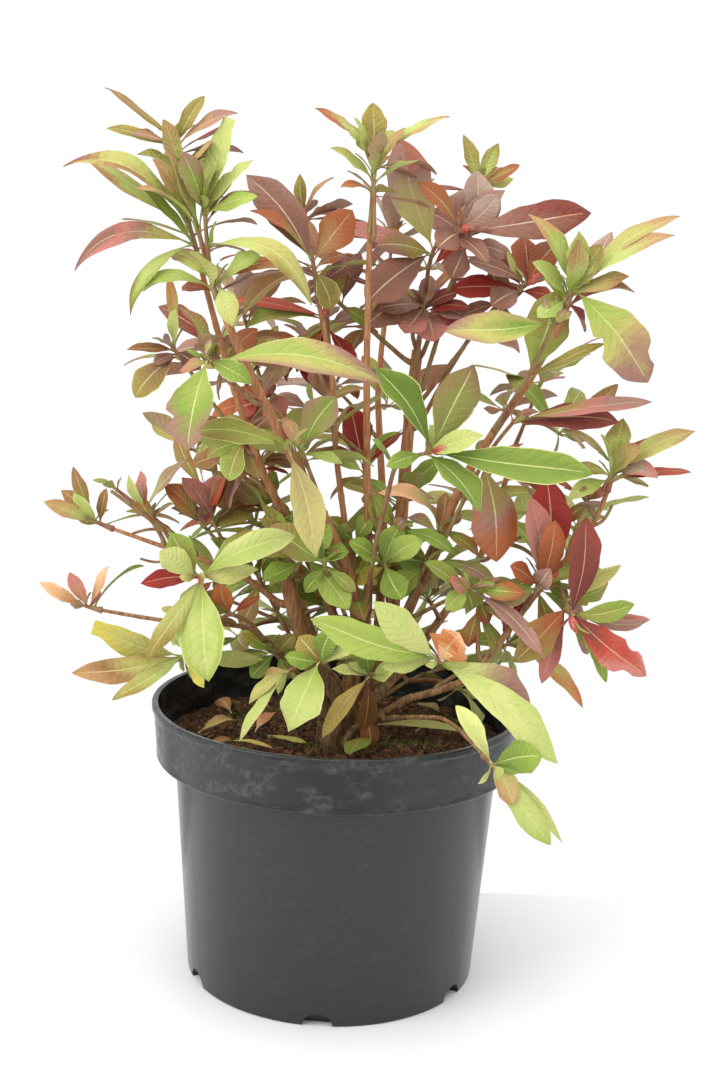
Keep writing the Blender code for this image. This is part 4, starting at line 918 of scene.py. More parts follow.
def rounded(points, radius, steps=4):
    """A profile with each inner corner rounded."""
    made = [points[0]]
    for before, corner, after in zip(points, points[1:], points[2:]):
        a, b, c = Vector(before), Vector(corner), Vector(after)
        cut = min(radius, (a - b).length * 0.45, (c - b).length * 0.45)
        start, end = b + (a - b).normalized() * cut, b + (c - b).normalized() * cut
        shares = [k / steps for k in range(steps + 1)]
        made += [tuple(start.lerp(b, t).lerp(b.lerp(end, t), t)) for t in shares]
    return made + [points[-1]]


def realised(obj, name):
    """The evaluated object as a plain mesh; the helper goes."""
    bpy.context.view_layer.update()
    mesh = bpy.data.meshes.new_from_object(obj.evaluated_get(bpy.context.evaluated_depsgraph_get()))
    mesh.name = name
    bpy.data.objects.remove(obj)
    return mesh


def new_tree(name, inputs):
    """A Geometry Nodes tree with these named inputs beside its geometry: (tree, in node, out node)."""
    tree = bpy.data.node_groups.new(name, "GeometryNodeTree")
    for label, kind in (("Geometry", "Geometry"), *inputs):
        tree.interface.new_socket(label, in_out="INPUT", socket_type="NodeSocket" + kind)
    tree.interface.new_socket("Geometry", in_out="OUTPUT", socket_type="NodeSocketGeometry")
    return tree, tree.nodes.new("NodeGroupInput"), tree.nodes.new("NodeGroupOutput")


def finish_tree(tree, geometry, made, out):
    """Makes the instances real, gives them their material and sends them out."""
    real = add_node(tree, "GeometryNodeRealizeInstances", {0: geometry})
    coated = add_node(tree, "GeometryNodeSetMaterial", {"Geometry": real.outputs[0], "Material": made})
    tree.links.new(coated.outputs[0], out.inputs[0])


def grow_with(obj, tree, values):
    """Puts the tree on obj with these named values."""
    grown = obj.modifiers.new(tree.name, "NODES")
    grown.node_group = tree
    names = {item.name: item.identifier for item in tree.interface.items_tree if item.in_out == "INPUT"}
    for label, value in values.items():
        grown[names[label]] = value


# ---------------------------------------------------------------- stems

ROUTE_STEP = 2.5  # mm between the points of a stem's route
COLLAR_FADE = 5  # mm over which the swelling at a stem's root dies away
SCAR_SWELL = 0.16  # how much a leaf scar widens a stem, over about SCAR_LENGTH either way
SCAR_LENGTH = 1.8
TWIG_SCARS = (26, 46)  # mm from one scar to the next
STEM_SCARS = (34, 60)


def curve_through(points, steps):
    """Points on a smooth curve through these, as a chain of Bezier spans."""
    points = [Vector(p) for p in points]
    ends = [points[0] * 2 - points[1]] + points + [points[-1] * 2 - points[-2]]
    curve = [points[0]]
    for before, start, end, after in zip(ends, ends[1:], ends[2:], ends[3:]):
        span = (end - start).length
        leave = (end - before).normalized() * span / 3
        arrive = (after - start).normalized() * span / 3
        curve += interpolate_bezier(start, start + leave, end - arrive, end, steps + 1)[1:]
    return curve


def lengths_along(path):
    """How far along the path each of its points lies."""
    return np.cumsum([0] + [(b - a).length for a, b in zip(path, path[1:])])


class Limb:
    """A limb's coarse path, as the solids have it, and its radii."""

    def __init__(self, path, radii):
        self.path = path
        self.radii = radii

    def at(self, share):
        """(point, direction, radius) this share of the way along it."""
        place = min(share, 1) * (len(self.path) - 1)
        k = min(int(place), len(self.path) - 2)
        blend = place - k
        point = self.path[k].lerp(self.path[k + 1], blend)
        radius = self.radii[k] + (self.radii[k + 1] - self.radii[k]) * blend
        return point, (self.path[k + 1] - self.path[k]).normalized(), radius

    def seat(self, share, toward):
        """(point, direction) where a piece leaves the limb's tip or side."""
        point, along, radius = self.at(share)
        if share >= 1:
            return point + along * GAP, along
        outward = toward - point
        outward = (outward - along * outward.dot(along)).normalized()
        return point + outward * radius, outward


def make_limb_paths():
    """{name: Limb} for the trunk and what grows from it."""
    path = curve_through(TRUNK_ROUTE, 3)
    places = np.linspace(0, len(TRUNK_RADII) - 1, len(path))
    limbs = {"trunk": Limb(path, np.interp(places, range(len(TRUNK_RADII)), TRUNK_RADII).tolist())}
    for name, parent, share, lean, route, root_radius, tip_radius in LIMBS:
        if share >= 1:
            point, out, _ = limbs[parent].at(1)
            start = point + Vector((*lean, 0))
            start = start - out * (start - point).dot(out) + out * GAP
        else:
            point = limbs[parent].at(share)[0]
            start, out = limbs[parent].seat(share, point + Vector((*lean, 0.2)) * 100)
        path = [start] + curve_through([start + out * 4] + [Vector(p) for p in route], 2)
        lengths = lengths_along(path)
        radii = [root_radius + (tip_radius - root_radius) * (d / lengths[-1]) ** 0.8 for d in lengths]
        limbs[name] = Limb(path, radii)
    return limbs


def stem_tree(made):
    """Curves with a radius turned into stems with bark relief: strips along Z, deeper on thick stems."""
    tree, given, out = new_tree("stem_with_bark", [
        ("Sides", "Int"), ("Relief", "Float"), ("Strip width", "Float")])
    kept = add_node(tree, "GeometryNodeCaptureAttribute", {0: given.outputs["Geometry"]})
    kept.capture_items.new("FLOAT", "Radius")
    tree.links.new(add_node(tree, "GeometryNodeInputRadius").outputs[0], kept.inputs[1])
    radius = kept.outputs[1]
    circle = add_node(tree, "GeometryNodeCurvePrimitiveCircle", {
        "Resolution": given.outputs["Sides"], "Radius": 1.0})
    skin = add_node(tree, "GeometryNodeCurveToMesh", {
        "Curve": kept.outputs[0], "Profile Curve": circle.outputs[0], "Scale": radius, "Fill Caps": True})
    place = add_node(tree, "GeometryNodeInputPosition").outputs[0]
    thin = add_node(tree, "ShaderNodeVectorMath", {
        0: place, 1: (1, 1, 0.14)}, operation="MULTIPLY").outputs[0]
    size = calc(tree, "DIVIDE", 1.0, given.outputs["Strip width"])
    strips = add_node(tree, "ShaderNodeTexNoise", {
        "Vector": thin, "Scale": size, "Detail": 2.0}).outputs["Fac"]
    depth = calc(tree, "MULTIPLY", radius, given.outputs["Relief"])
    push = calc(tree, "MULTIPLY", calc(tree, "SUBTRACT", strips, 0.5), depth)
    normal = add_node(tree, "GeometryNodeInputNormal").outputs[0]
    offset = add_node(tree, "ShaderNodeVectorMath", {0: normal, "Scale": push}, operation="SCALE").outputs[0]
    moved = add_node(tree, "GeometryNodeSetPosition", {"Geometry": skin.outputs[0], "Offset": offset})
    finish_tree(tree, moved.outputs[0], made, out)
    return tree


def make_stems(name, routes, made, sides, relief, strip_mm, nodes):
    """One piece of stems from [(points in mm, radii in mm)]."""
    curve = bpy.data.curves.new(name, "CURVE")
    curve.dimensions = "3D"
    for points, radii in routes:
        spline = curve.splines.new("POLY")
        spline.points.add(len(points) - 1)
        for spot, point, radius in zip(spline.points, points, radii):
            spot.co = (*(Vector(point) * MM), 1)
            spot.radius = radius * MM
    guide = new_object(name + "_guide", curve)
    grow_with(guide, stem_tree(made), {"Sides": sides, "Relief": relief, "Strip width": strip_mm * MM})
    mesh = realised(guide, name)
    smooth(mesh, 60)
    add_piece(name, mesh, [] if mesh.materials else [made], nodes)


def fine_route(path, radii, rng, sunk=None, collar=1.35, scars=TWIG_SCARS):
    """The path in short steps, sunk into what carries it, with a collar there and leaf scars along it."""
    lengths = lengths_along(path)
    count = max(int(lengths[-1] / ROUTE_STEP), 3)
    at = np.linspace(0, lengths[-1], count)
    points = np.stack([np.interp(at, lengths, [p[k] for p in path]) for k in range(3)], axis=1)
    # Each point is drawn towards its neighbours' middle, so that the path has no corners.
    for _ in range(3):
        points[1:-1] = points[1:-1] * 0.5 + (points[:-2] + points[2:]) * 0.25
    widths = np.interp(at, lengths, radii)
    if sunk is not None:
        widths = widths * (1 + (collar - 1) * np.exp(-at / COLLAR_FADE))
    scar = rng.uniform(*scars)
    while scar < lengths[-1] - 6:
        widths = widths * (1 + SCAR_SWELL * np.exp(-((at - scar) / SCAR_LENGTH) ** 2))
        scar += rng.uniform(*scars)
    points, widths = points.tolist(), widths.tolist()
    if sunk is not None:
        points = [list(sunk)] + points
        widths = [widths[0] * 0.8] + widths
    return points, widths


def stem_routes(limbs, look):
    """The fine route of the trunk's core and of each limb, from the peat or from what carries it."""
    parents = {name: (parent, share) for name, parent, share, *_ in LIMBS}
    routes = []
    for name, limb in limbs.items():
        if name == "trunk":
            start = limb.path[0] - Vector((0, 0, 5))
            core = [radius * CORE_SHARE for radius in limb.radii]
            routes.append(fine_route(limb.path, core, look, start, 1.1))
        elif name in FEET:
            x, y, radius = FEET[name]
            foot = Vector((x, y, SOIL_HEIGHT - 7))
            low = curve_through([foot, foot + Vector((0, 0, 14)), limb.path[0]], 3)[:-1]
            spread = [radius + (limb.radii[0] - radius) * (k / len(low)) ** 0.7 for k in range(len(low))]
            routes.append(fine_route(low + limb.path, spread + limb.radii, look, None, 1, STEM_SCARS))
        else:
            parent, share = parents[name]
            point, along, _ = limbs[parent].at(share)
            sunk = limb.path[0] - along * 10 if share >= 1 else point
            routes.append(fine_route(limb.path, limb.radii, look, sunk, 1.3, STEM_SCARS))
    return routes


def snag_routes(look):
    """The fine routes of the bare twigs."""
    routes = []
    for places, radius in SNAGS:
        path = curve_through(places, 3)
        routes.append(fine_route(path, np.linspace(radius * 1.3, radius, len(path)).tolist(), look))
    return routes


# ---------------------------------------------------------------- leaves

PETIOLE = 0.07  # share of a leaf's length
PETIOLE_WIDTH = 1.5
BLADE_THICKNESS = 0.45
FULLNESS = 1.05  # how much wider a leaf is than the sheet that stands for it
RULED_FULLNESS = 0.8
TIP_SHARE = 0.14  # a tip's width, of the petiole's
SMALL_LEAF = 30  # a leaf shorter than this has the coarser grid
CUT_AT = 0.72  # share of the blade where a cut leaf ends blunt
CUT_WIDTH = 0.62
BITE_PLACE = (0.45, 0.9)  # where a nibbled leaf lost some of its edge, and how deep and long the gap is
BITE_DEPTH = (0.25, 0.5)
BITE_LENGTH = 0.06
BEND = 14  # degrees that a leaf may lean to one side
TWIST = 28  # degrees that it may turn from base to tip
SWAY = 0.05  # share of its length that it may bow sideways
FOLD = (0.18, 0.46)  # rise of the halves from the midrib, as a share of their width
CURL = (0.05, 0.36)  # how far the margins bend back again
WAVE_RATES = (13, 11, 5.5, 4.5)  # two quick and two slow waves, for the left and right margins
WAVE = 0.085
RIB_HALF = 0.04  # the midrib's half width, as a share of the blade's, and where it ends
RIB_END = 0.92
MARGIN = 0.94  # share of the half width where the pale margin starts
PALE_MARGINS = 0.45  # share of the green leaves that have one
BEHIND = 90  # bearing in degrees from the plant's right


class LeafGrid:
    """The grid of one closed leaf: an upper side and a coarser underside that meet round the margin."""

    def __init__(self, sections, columns, under_columns):
        self.sections = np.array(sections)
        self.columns = np.array(columns)
        self.under_columns = np.array(under_columns)
        wide, long = len(columns), len(sections)
        upper = np.arange(wide * long).reshape(long, wide)
        middle = wide * long + np.arange(len(under_columns) * long).reshape(long, -1)
        under = np.concatenate([upper[:, :1], middle, upper[:, -1:]], axis=1)
        faces, self.undersides, self.cells = [], [], []
        for i in range(long - 1):
            s = (sections[i] + sections[i + 1]) / 2
            for k in range(wide - 1):
                faces.append([upper[i, k], upper[i, k + 1], upper[i + 1, k + 1], upper[i + 1, k]])
                self.undersides.append(False)
                self.cells.append((s, (columns[k] + columns[k + 1]) / 2))
            for k in range(under.shape[1] - 1):
                faces.append([under[i, k], under[i + 1, k], under[i + 1, k + 1], under[i, k + 1]])
                self.undersides.append(True)
                self.cells.append((s, 0.5))
        for i in (0, long - 1):
            ring = list(upper[i]) + list(middle[i][::-1])
            faces.append(ring if i else ring[::-1])
            self.undersides.append(False)
            self.cells.append((sections[i], 0.5))
        self.faces = [[int(v) for v in face] for face in faces]
        across = np.concatenate([np.tile(self.columns, long), np.tile(self.under_columns, long)]) / 2 + 0.5
        along = np.concatenate([np.repeat(self.sections, wide), np.repeat(self.sections, len(under_columns))])
        self.places = np.stack([across, along], axis=1)


LARGE_GRID = LeafGrid(
    [0, .03, .065, .11, .155, .205, .26, .315, .37, .43, .49, .55, .61, .67, .73, .785, .84, .89, .935, .97,
     1.0],
    [-1, -.94, -.72, -.5, -.27, -.035, .035, .27, .5, .72, .94, 1], [-.5, 0, .5])
SMALL_GRID = LeafGrid([0, .07, .16, .28, .42, .56, .7, .83, .93, 1.0], [-1, -.5, -.05, .05, .5, 1], [0])


class Leaf:
    """One leaf's place, shape and tint."""

    def __init__(self, root, reach, width, arch, axis, tint):
        self.root = root
        self.reach = reach
        self.width = width
        self.arch = arch
        words = tint.split()
        self.tint = words[0]
        self.cut = "cut" in words
        self.nibbled = "nibbled" in words
        self.axis = Vector((0, -1, 0.25)) if "front" in words else axis

    def frame(self):
        """(along, face, side): unit vectors along the leaf, out of its upper side, and across it."""
        along = self.reach.normalized()
        face = self.axis - along * self.axis.dot(along)
        face = (face if face.length > 0.15 else along.orthogonal()).normalized()
        return along, face, along.cross(face)

    def rise(self):
        """How high the middle bows above the straight line from root to tip."""
        return self.reach.length * math.tan(math.radians(self.arch) / 4) / 2

    def blade(self):
        """A coarse open sheet along the blade, to test for clearance."""
        _, face, side = self.frame()
        points = []
        for s, spread in ((0.16, 0.2), (0.35, 0.75), (0.6, 0.95), (0.82, 0.7), (1.0, 0.05)):
            centre = self.root + self.reach * s + face * (self.rise() * 4 * s * (1 - s))
            edge = side * (self.width * spread / 2)
            lift = face * (self.width * spread * 0.1)
            points += [centre - edge + lift, centre, centre + edge + lift]
        faces = [(3 * i + k, 3 * i + k + 1, 3 * i + k + 4, 3 * i + k + 3) for i in range(4) for k in range(2)]
        return BVHTree.FromPolygons(points, faces)


def leaf_outline(sections, rng, cut, nibbled):
    """Half widths on each side, as a share of the leaf's half width: (left, right) along the leaf."""
    blade = np.clip((sections - PETIOLE) / (1 - PETIOLE), 0, 1)
    low, high = rng.uniform(1.1, 1.5), rng.uniform(0.78, 1.08)
    most = (low / (low + high)) ** low * (high / (low + high)) ** high
    profile = blade ** low * (1 - blade) ** high / most
    if cut:
        profile = np.where(blade > CUT_AT, np.maximum(profile, CUT_WIDTH), profile)
    sides = []
    for _ in range(2):
        phase, second = rng.uniform(0, math.tau), rng.uniform(0, math.tau)
        side = profile * (1 + 0.04 * np.sin(blade * 15 + phase) + 0.03 * np.sin(blade * 27 + second))
        if nibbled:
            bite = rng.uniform(*BITE_PLACE)
            side = side * (1 - rng.uniform(*BITE_DEPTH) * np.exp(-((blade - bite) / BITE_LENGTH) ** 2))
        sides.append(side)
    return sides


def leaf_points(leaf, grid, rng):
    """The points of one leaf in mm: a bowed midrib, two raised halves, curled and waved edges."""
    sections = grid.sections
    along, face, side = (np.array(v) for v in leaf.frame())
    length = leaf.reach.length
    # The bow leans to the tip, which hangs over.
    bow = 4 * sections * (1 - sections) * (0.78 + 0.42 * sections)
    slope = np.gradient(bow, sections) * leaf.rise() / length
    sway = rng.uniform(-SWAY, SWAY) * length * np.sin(math.pi * sections) ** 1.5
    centre = np.array(leaf.root) + along * (length * sections)[:, None] + face * (leaf.rise() * bow)[:, None]
    centre = centre + side * sway[:, None]
    normal = face - along * slope[:, None]
    normal /= np.linalg.norm(normal, axis=1)[:, None]
    angle = math.radians(rng.uniform(-BEND, BEND))
    angle = angle + math.radians(rng.uniform(-TWIST, TWIST)) * (sections - 0.3)
    aside = side * np.cos(angle)[:, None] + normal * np.sin(angle)[:, None]
    normal = normal * np.cos(angle)[:, None] - side * np.sin(angle)[:, None]
    stalk = PETIOLE_WIDTH / leaf.width * np.clip(1.3 - sections / PETIOLE * 0.45, TIP_SHARE, 1)
    outline = leaf_outline(sections, rng, leaf.cut, leaf.nibbled)
    halves = [np.maximum(half, stalk) * leaf.width / 2 for half in outline]
    fold, curl = rng.uniform(*FOLD), rng.uniform(*CURL)
    phases = [rng.uniform(0, math.tau) for _ in range(4)]
    waves = [np.sin(sections * rate + phase) for rate, phase in zip(WAVE_RATES, phases)]
    thick = BLADE_THICKNESS + 1.0 * np.clip(1 - sections / (PETIOLE * 1.6), 0, 1)
    points = []
    for columns, share in ((grid.columns, 0), (grid.under_columns, 1)):
        reach = np.abs(columns)
        half = np.where(columns < 0, halves[0][:, None], halves[1][:, None])
        wave = np.where(columns < 0, (waves[0] + waves[2])[:, None], (waves[1] + waves[3])[:, None])
        lift = half * (fold * reach - curl * reach ** 2 + wave * reach ** 2 * WAVE)
        lift = lift - share * thick[:, None] * np.where(reach < 0.1, 1.6, 1.0)
        spread = centre[:, None] + aside[:, None] * (columns * half)[..., None]
        points.append((spread + normal[:, None] * lift[..., None]).reshape(-1, 3))
    return np.concatenate(points)


def leaf_tones(leaf, grid, rng, palette):
    """The tone of each face: the tint runs from the leaf's base to its tip and in from its edges, in
    soft blotches."""
    names = leaf.tint.split(">")
    run = palette.run(leaf.tint)
    undersides, ribs = palette.sides()
    start, end = rng.uniform(-0.1, 0.3), rng.uniform(0.8, 1.15)
    edge, slant = rng.uniform(-0.1, 0.7), rng.uniform(-0.15, 0.15)
    pale_margin = rng.random() < PALE_MARGINS
    broad = [(rng.uniform(3, 9), rng.uniform(-3, 3), rng.uniform(0, math.tau)) for _ in range(3)]
    small = [(rng.uniform(10, 20), rng.uniform(-5, 5), rng.uniform(0, math.tau)) for _ in range(3)]
    tones = []
    for underside, (s, x) in zip(grid.undersides, grid.cells):
        drift = sum(math.sin(a * s + b * x + c) for a, b, c in broad) / 9
        drift += sum(math.sin(a * s + b * x + c) for a, b, c in small) / 34
        share = (s - start) / (end - start) + edge * (x ** 2 - 0.3) + slant * x + drift
        share = min(max(share, 0), 1)
        kind = KIND_OF[names[min(int(share * len(names)), len(names) - 1)]]
        rib = s < PETIOLE or (abs(x) < RIB_HALF and s < RIB_END)
        if underside:
            tones.append(undersides[kind])
        elif rib or (abs(x) > MARGIN and pale_margin and kind == "green"):
            tones.append(ribs[kind])
        else:
            tones.append(run[round(share * RUN)])
    return tones


def join_leaves(name, leaves, palette, nodes, rng):
    """All these leaves as one piece."""
    points, faces, marks, places = [], [], [], []
    first = 0
    for leaf in leaves:
        grid = SMALL_GRID if leaf.reach.length < SMALL_LEAF else LARGE_GRID
        points.append(leaf_points(leaf, grid, rng))
        faces += [[v + first for v in face] for face in grid.faces]
        marks += leaf_tones(leaf, grid, rng, palette)
        places.append(grid.places)
        first += len(points[-1])
    mesh = mesh_of(name, np.concatenate(points), faces)
    mesh.polygons.foreach_set("material_index", marks)
    corners = np.empty(len(mesh.loops), dtype=np.int32)
    mesh.loops.foreach_get("vertex_index", corners)
    mesh.uv_layers.new(name="leaf").data.foreach_set("uv", np.concatenate(places)[corners].ravel())
    smooth(mesh, 70)
    return add_piece(name, mesh, [], nodes)


def wear(pieces, materials):
    """Each piece gets only the tones that its faces use."""
    for piece in pieces:
        marks = np.empty(len(piece.data.polygons), dtype=np.int32)
        piece.data.polygons.foreach_get("material_index", marks)
        used, places = np.unique(marks, return_inverse=True)
        for k in used:
            piece.data.materials.append(materials[k])
        piece.data.polygons.foreach_set("material_index", places.ravel().astype(np.int32))


# ---------------------------------------------------------------- masses of leaves

# Turns and tilts, in degrees, that a leaf tries until it clears its neighbours.
TURNS = [
    (0, 0), (9, 0), (-9, 0), (0, 10), (0, -10), (18, 5), (-18, 5), (14, -12), (-14, -12), (27, 0), (-27, 0)]
FILL_LEAF_RISE = (-10, 45)  # degrees above level
FILL_LEAF_LENGTH = (40, 58)
FILL_LEAF_WIDTH = (14, 20)
YOUNG_LENGTH = (13, 22)
YOUNG_WIDTH = (5, 7.5)
# Tints for leaves that the rule adds, by height. RED_HEIGHTS is where the crown turns from green to red.
RED_HEIGHTS = (300, 560)
HIGH_TINTS = "plum mauve crimson>plum rust>crimson olive>bronze bronze>rust mauve>dusk scarlet>rust".split()
MIDDLE_TINTS = "olive olive>bronze sage>olive green>olive bronze>rust green>mauve fresh>bronze mauve".split()
LOW_TINTS = "green fresh green>olive olive lime>fresh sage mid fresh>olive".split()


def turned_reach(reach, turn, tilt):
    """The reach, swung round by turn and raised by tilt, in degrees."""
    bearing = math.atan2(reach.y, reach.x) + math.radians(turn)
    rise = math.atan2(reach.z, math.hypot(reach.x, reach.y)) + math.radians(tilt)
    rise = max(min(rise, 1.45), -1.45)
    way = Vector((math.cos(bearing) * math.cos(rise), math.sin(bearing) * math.cos(rise), math.sin(rise)))
    return way * reach.length


def ruled_leaf(bearing, rise, length, width, arch):
    """A leaf that the rule adds, in the tables' form; its angles are degrees."""
    bearing, rise = math.radians(bearing), math.radians(rise)
    level = length * math.cos(rise)
    return level * math.cos(bearing), level * math.sin(bearing), length * math.sin(rise), width, arch


def fill_leaves(count, rng):
    """More leaves by rule, spread by the golden angle over the side that faces back."""
    return [
        ruled_leaf(
            BEHIND + ((k * GOLDEN_ANGLE + rng.uniform(0, 40)) % 150 - 75), rng.uniform(*FILL_LEAF_RISE),
            rng.uniform(*FILL_LEAF_LENGTH), rng.uniform(*FILL_LEAF_WIDTH), rng.uniform(15, 55))
        for k in range(count)]


def rosette(count, rng):
    """A full whorl of leaves by rule."""
    return [
        ruled_leaf(
            k * GOLDEN_ANGLE + rng.uniform(-12, 12), rng.uniform(*BACK_LEAF_RISE),
            rng.uniform(*BACK_LEAF_LENGTH), rng.uniform(*BACK_LEAF_WIDTH), rng.uniform(15, 60))
        for k in range(count)]


def back_whorls(limb, share, reach, count, rng):
    """Whorls of a mass behind: one at the end of its twig, and one at the end of each side twig."""
    start = limb.at(share)[0]
    reach = Vector(reach)
    whorls = [(start + reach * 0.5, [], 0)]
    for k in range(BACK_FORKS):
        spread = BACK_FORK_SPREAD if k else -BACK_FORK_SPREAD
        sideways = Vector((reach.y, -reach.x, 0)).normalized() * spread
        place = start + reach * 0.8 + sideways + Vector((0, 0, rng.uniform(-18, 0)))
        whorls.append((place, rosette(count - 2, rng), 0))
    whorls.append((start + reach * 1.3, rosette(count, rng), 0))
    return whorls


def nearest(path, place):
    """The number of the path's point, after its first, that is nearest to the place."""
    return min(range(1, len(path)), key=lambda k: (path[k] - place).length)


def walk_back(path, end, distance):
    """(point, direction) this far back along a path from its point number end."""
    for k in range(end, 0, -1):
        span = path[k] - path[k - 1]
        if distance <= span.length or k == 1:
            return path[k] - span.normalized() * distance, span.normalized()
        distance -= span.length


def ruled_tint(height, rng):
    """A tint for a leaf that the rule adds: redder high up, greener in the shade low down."""
    low, high = RED_HEIGHTS
    place = (height - low) / (high - low) + rng.uniform(-0.35, 0.35)
    return rng.choice(HIGH_TINTS if place > 0.66 else MIDDLE_TINTS if place > 0.15 else LOW_TINTS)


class Mass:
    """A mass of leaves on a twig through its whorls; in a forked one the middle whorls end side twigs."""

    def __init__(self, name, limb, share, whorls, forked=False, finer=False):
        self.name = name
        self.finer = finer
        self.whorls = whorls
        self.forked = forked
        self.places = [Vector(place) for place, _, _ in whorls]
        ends = [self.places[0], self.places[-1]] if forked else self.places
        seat, out = limb.seat(share, self.places[0])
        self.sunk = limb.at(share)[0]
        path = [seat] + curve_through([seat + out * 2.5] + ends, 2)
        self.paths = [path] * len(whorls)
        if forked:
            for k, place in enumerate(self.places[1:-1], start=1):
                middle = self.places[0].lerp(place, 0.5) + Vector((0, 0, 4))
                self.paths[k] = curve_through([self.places[0], middle, place], 2)

    def routes(self, rng):
        """The twig and side twigs as fine routes."""
        made = []
        for k, path in enumerate(self.paths):
            if k and path is self.paths[0]:
                continue
            radii = np.linspace(TWIG_RADIUS, TWIG_TIP_RADIUS * 0.85, len(path)).tolist()
            made.append(fine_route(path, radii, rng, self.sunk if k == 0 else None, 1.4))
        return made

    def leaves(self, rng, look, placed):
        """Its leaves, by the same rule and the same seed as its solid's."""
        made = []
        for place, path, (_, rows, extra) in zip(self.places, self.paths, self.whorls):
            end = nearest(path, place)
            for k, row in enumerate(list(rows) + fill_leaves(extra, rng)):
                right, back, up, width, arch = row[:5]
                root, along = walk_back(path, end, 0.8 + WHORL_SPACING * k)
                ruled = len(row) < 6
                tint = ruled_tint(place.z, look) if ruled else row[5]
                axis = (along + Vector((0, 0 if ruled else -FACE_FRONT, 0.8))).normalized()
                width *= RULED_FULLNESS if ruled else FULLNESS
                reach = Vector((right, back, up))
                for turn, tilt in TURNS:
                    leaf = Leaf(root, turned_reach(reach, turn, tilt), width, arch, axis, tint)
                    blade = leaf.blade()
                    middle, half = leaf.root + leaf.reach * 0.5, leaf.reach.length / 2
                    near = (
                        tree for other, reached, tree in placed if (other - middle).length < reached + half)
                    if not any(blade.overlap(tree) for tree in near):
                        break
                else:
                    leaf = Leaf(root, reach, width, arch, axis, tint)
                placed.append((middle, leaf.reach.length / 2, leaf.blade()))
                made.append(leaf)
        return made

    def tips(self, look):
        """(buds, young leaves) at the ends of its twigs."""
        buds, young = [], []
        for k, (place, path, (_, rows, _)) in enumerate(zip(self.places, self.paths, self.whorls)):
            if (self.forked and k == 0) or nearest(path, place) < len(path) - 1:
                continue
            along = (path[-1] - path[-2]).normalized()
            flower = (self.name, k) in FLOWER_BUDS
            length, width = FLOWER_BUD_SIZE if flower else LEAF_BUD_SIZE
            buds.append((place - along, along, length, width, 0 if flower else 1))
            for j in range(3):
                bearing = math.radians(j * GOLDEN_ANGLE + look.uniform(0, 50))
                rise = look.uniform(0.7, 1.2)
                way = (Vector((math.cos(bearing), math.sin(bearing), 0)) + along * rise).normalized()
                reach = way * look.uniform(*YOUNG_LENGTH)
                listed = rows and len(rows[0]) > 5
                tint = rows[look.randrange(len(rows))][5] if listed else ruled_tint(place.z, look)
                young.append(Leaf(place - along * 1.2, reach, look.uniform(*YOUNG_WIDTH), 30, along, tint))
        return buds, young


def plan_masses(limbs):
    """Every mass: those in front, those behind, the finer ones and the filling."""
    rng = random.Random(FILL_SEED)
    masses = [Mass(name, limbs[limb], share, whorls) for name, limb, share, whorls in MASSES]
    for name, limb, share, reach, count in BACK_MASSES:
        whorls = back_whorls(limbs[limb], share, reach, count, rng)
        masses.append(Mass(name, limbs[limb], share, whorls, forked=True))
    for name, limb, share, whorls in FINER_MASSES:
        masses.append(Mass(name, limbs[limb], share, whorls, finer=True))
    for limb, share, reach, count in FILLING:
        place = limbs[limb].at(share)[0] + Vector(reach)
        masses.append(Mass("filling", limbs[limb], share, [(place, rosette(count, rng), 0)], finer=True))
    return masses, rng


# ---------------------------------------------------------------- buds

BUD_SIDES = 12
BUD_RINGS = 9


def make_buds(buds, materials):
    """Pointed winter buds, each a spindle with four raised rows of scales."""
    points, faces, marks = [], [], []
    for place, along, length, width, kind in buds:
        turn = along.to_track_quat("Z", "Y")
        first = len(points)
        for i in range(BUD_RINGS + 1):
            s = i / BUD_RINGS
            swell = math.sin(math.pi * min(s * 0.92 + 0.08, 1)) ** 0.75 * (1 - 0.3 * s)
            for k in range(BUD_SIDES):
                a = math.tau * k / BUD_SIDES + s * 1.2
                scale = 1 + 0.10 * math.cos(4 * a) * math.cos(i * math.pi)
                r = max(width / 2 * swell * scale, 0.15)
                points.append(Vector(place) + turn @ Vector((r * math.cos(a), r * math.sin(a), length * s)))
        for i in range(BUD_RINGS):
            for k in range(BUD_SIDES):
                a, b = first + i * BUD_SIDES + k, first + i * BUD_SIDES + (k + 1) % BUD_SIDES
                faces.append([a, b, b + BUD_SIDES, a + BUD_SIDES])
        faces.append([first + k for k in range(BUD_SIDES)][::-1])
        faces.append([first + BUD_RINGS * BUD_SIDES + k for k in range(BUD_SIDES)])
        marks += [kind] * (BUD_RINGS * BUD_SIDES + 2)
    mesh = mesh_of("buds", [tuple(p) for p in points], faces)
    mesh.polygons.foreach_set("material_index", marks)
    mesh.shade_smooth()
    add_piece("buds", mesh, materials, ())


# ---------------------------------------------------------------- pot and peat

CUTTER_REACH = 6  # mm that a notch's cutter stands out past the pot's foot
PEAT_SIDES = 120
PEAT_RINGS = 46
PEAT_CRUMB = 1.8  # mm that a point of the peat's top may lie higher or lower
PEAT_LEVEL = 18  # radius round the trunk where it stays level
LITTER_RADII = (14, 124)  # the ring that crumbs and fibres lie in
MOSS_RADII = (20, 120)


def body_radius(height):
    return BASE_RADIUS + (BODY_TOP_RADIUS - BASE_RADIUS) * height / (POT_HEIGHT - COLLAR_HEIGHT)


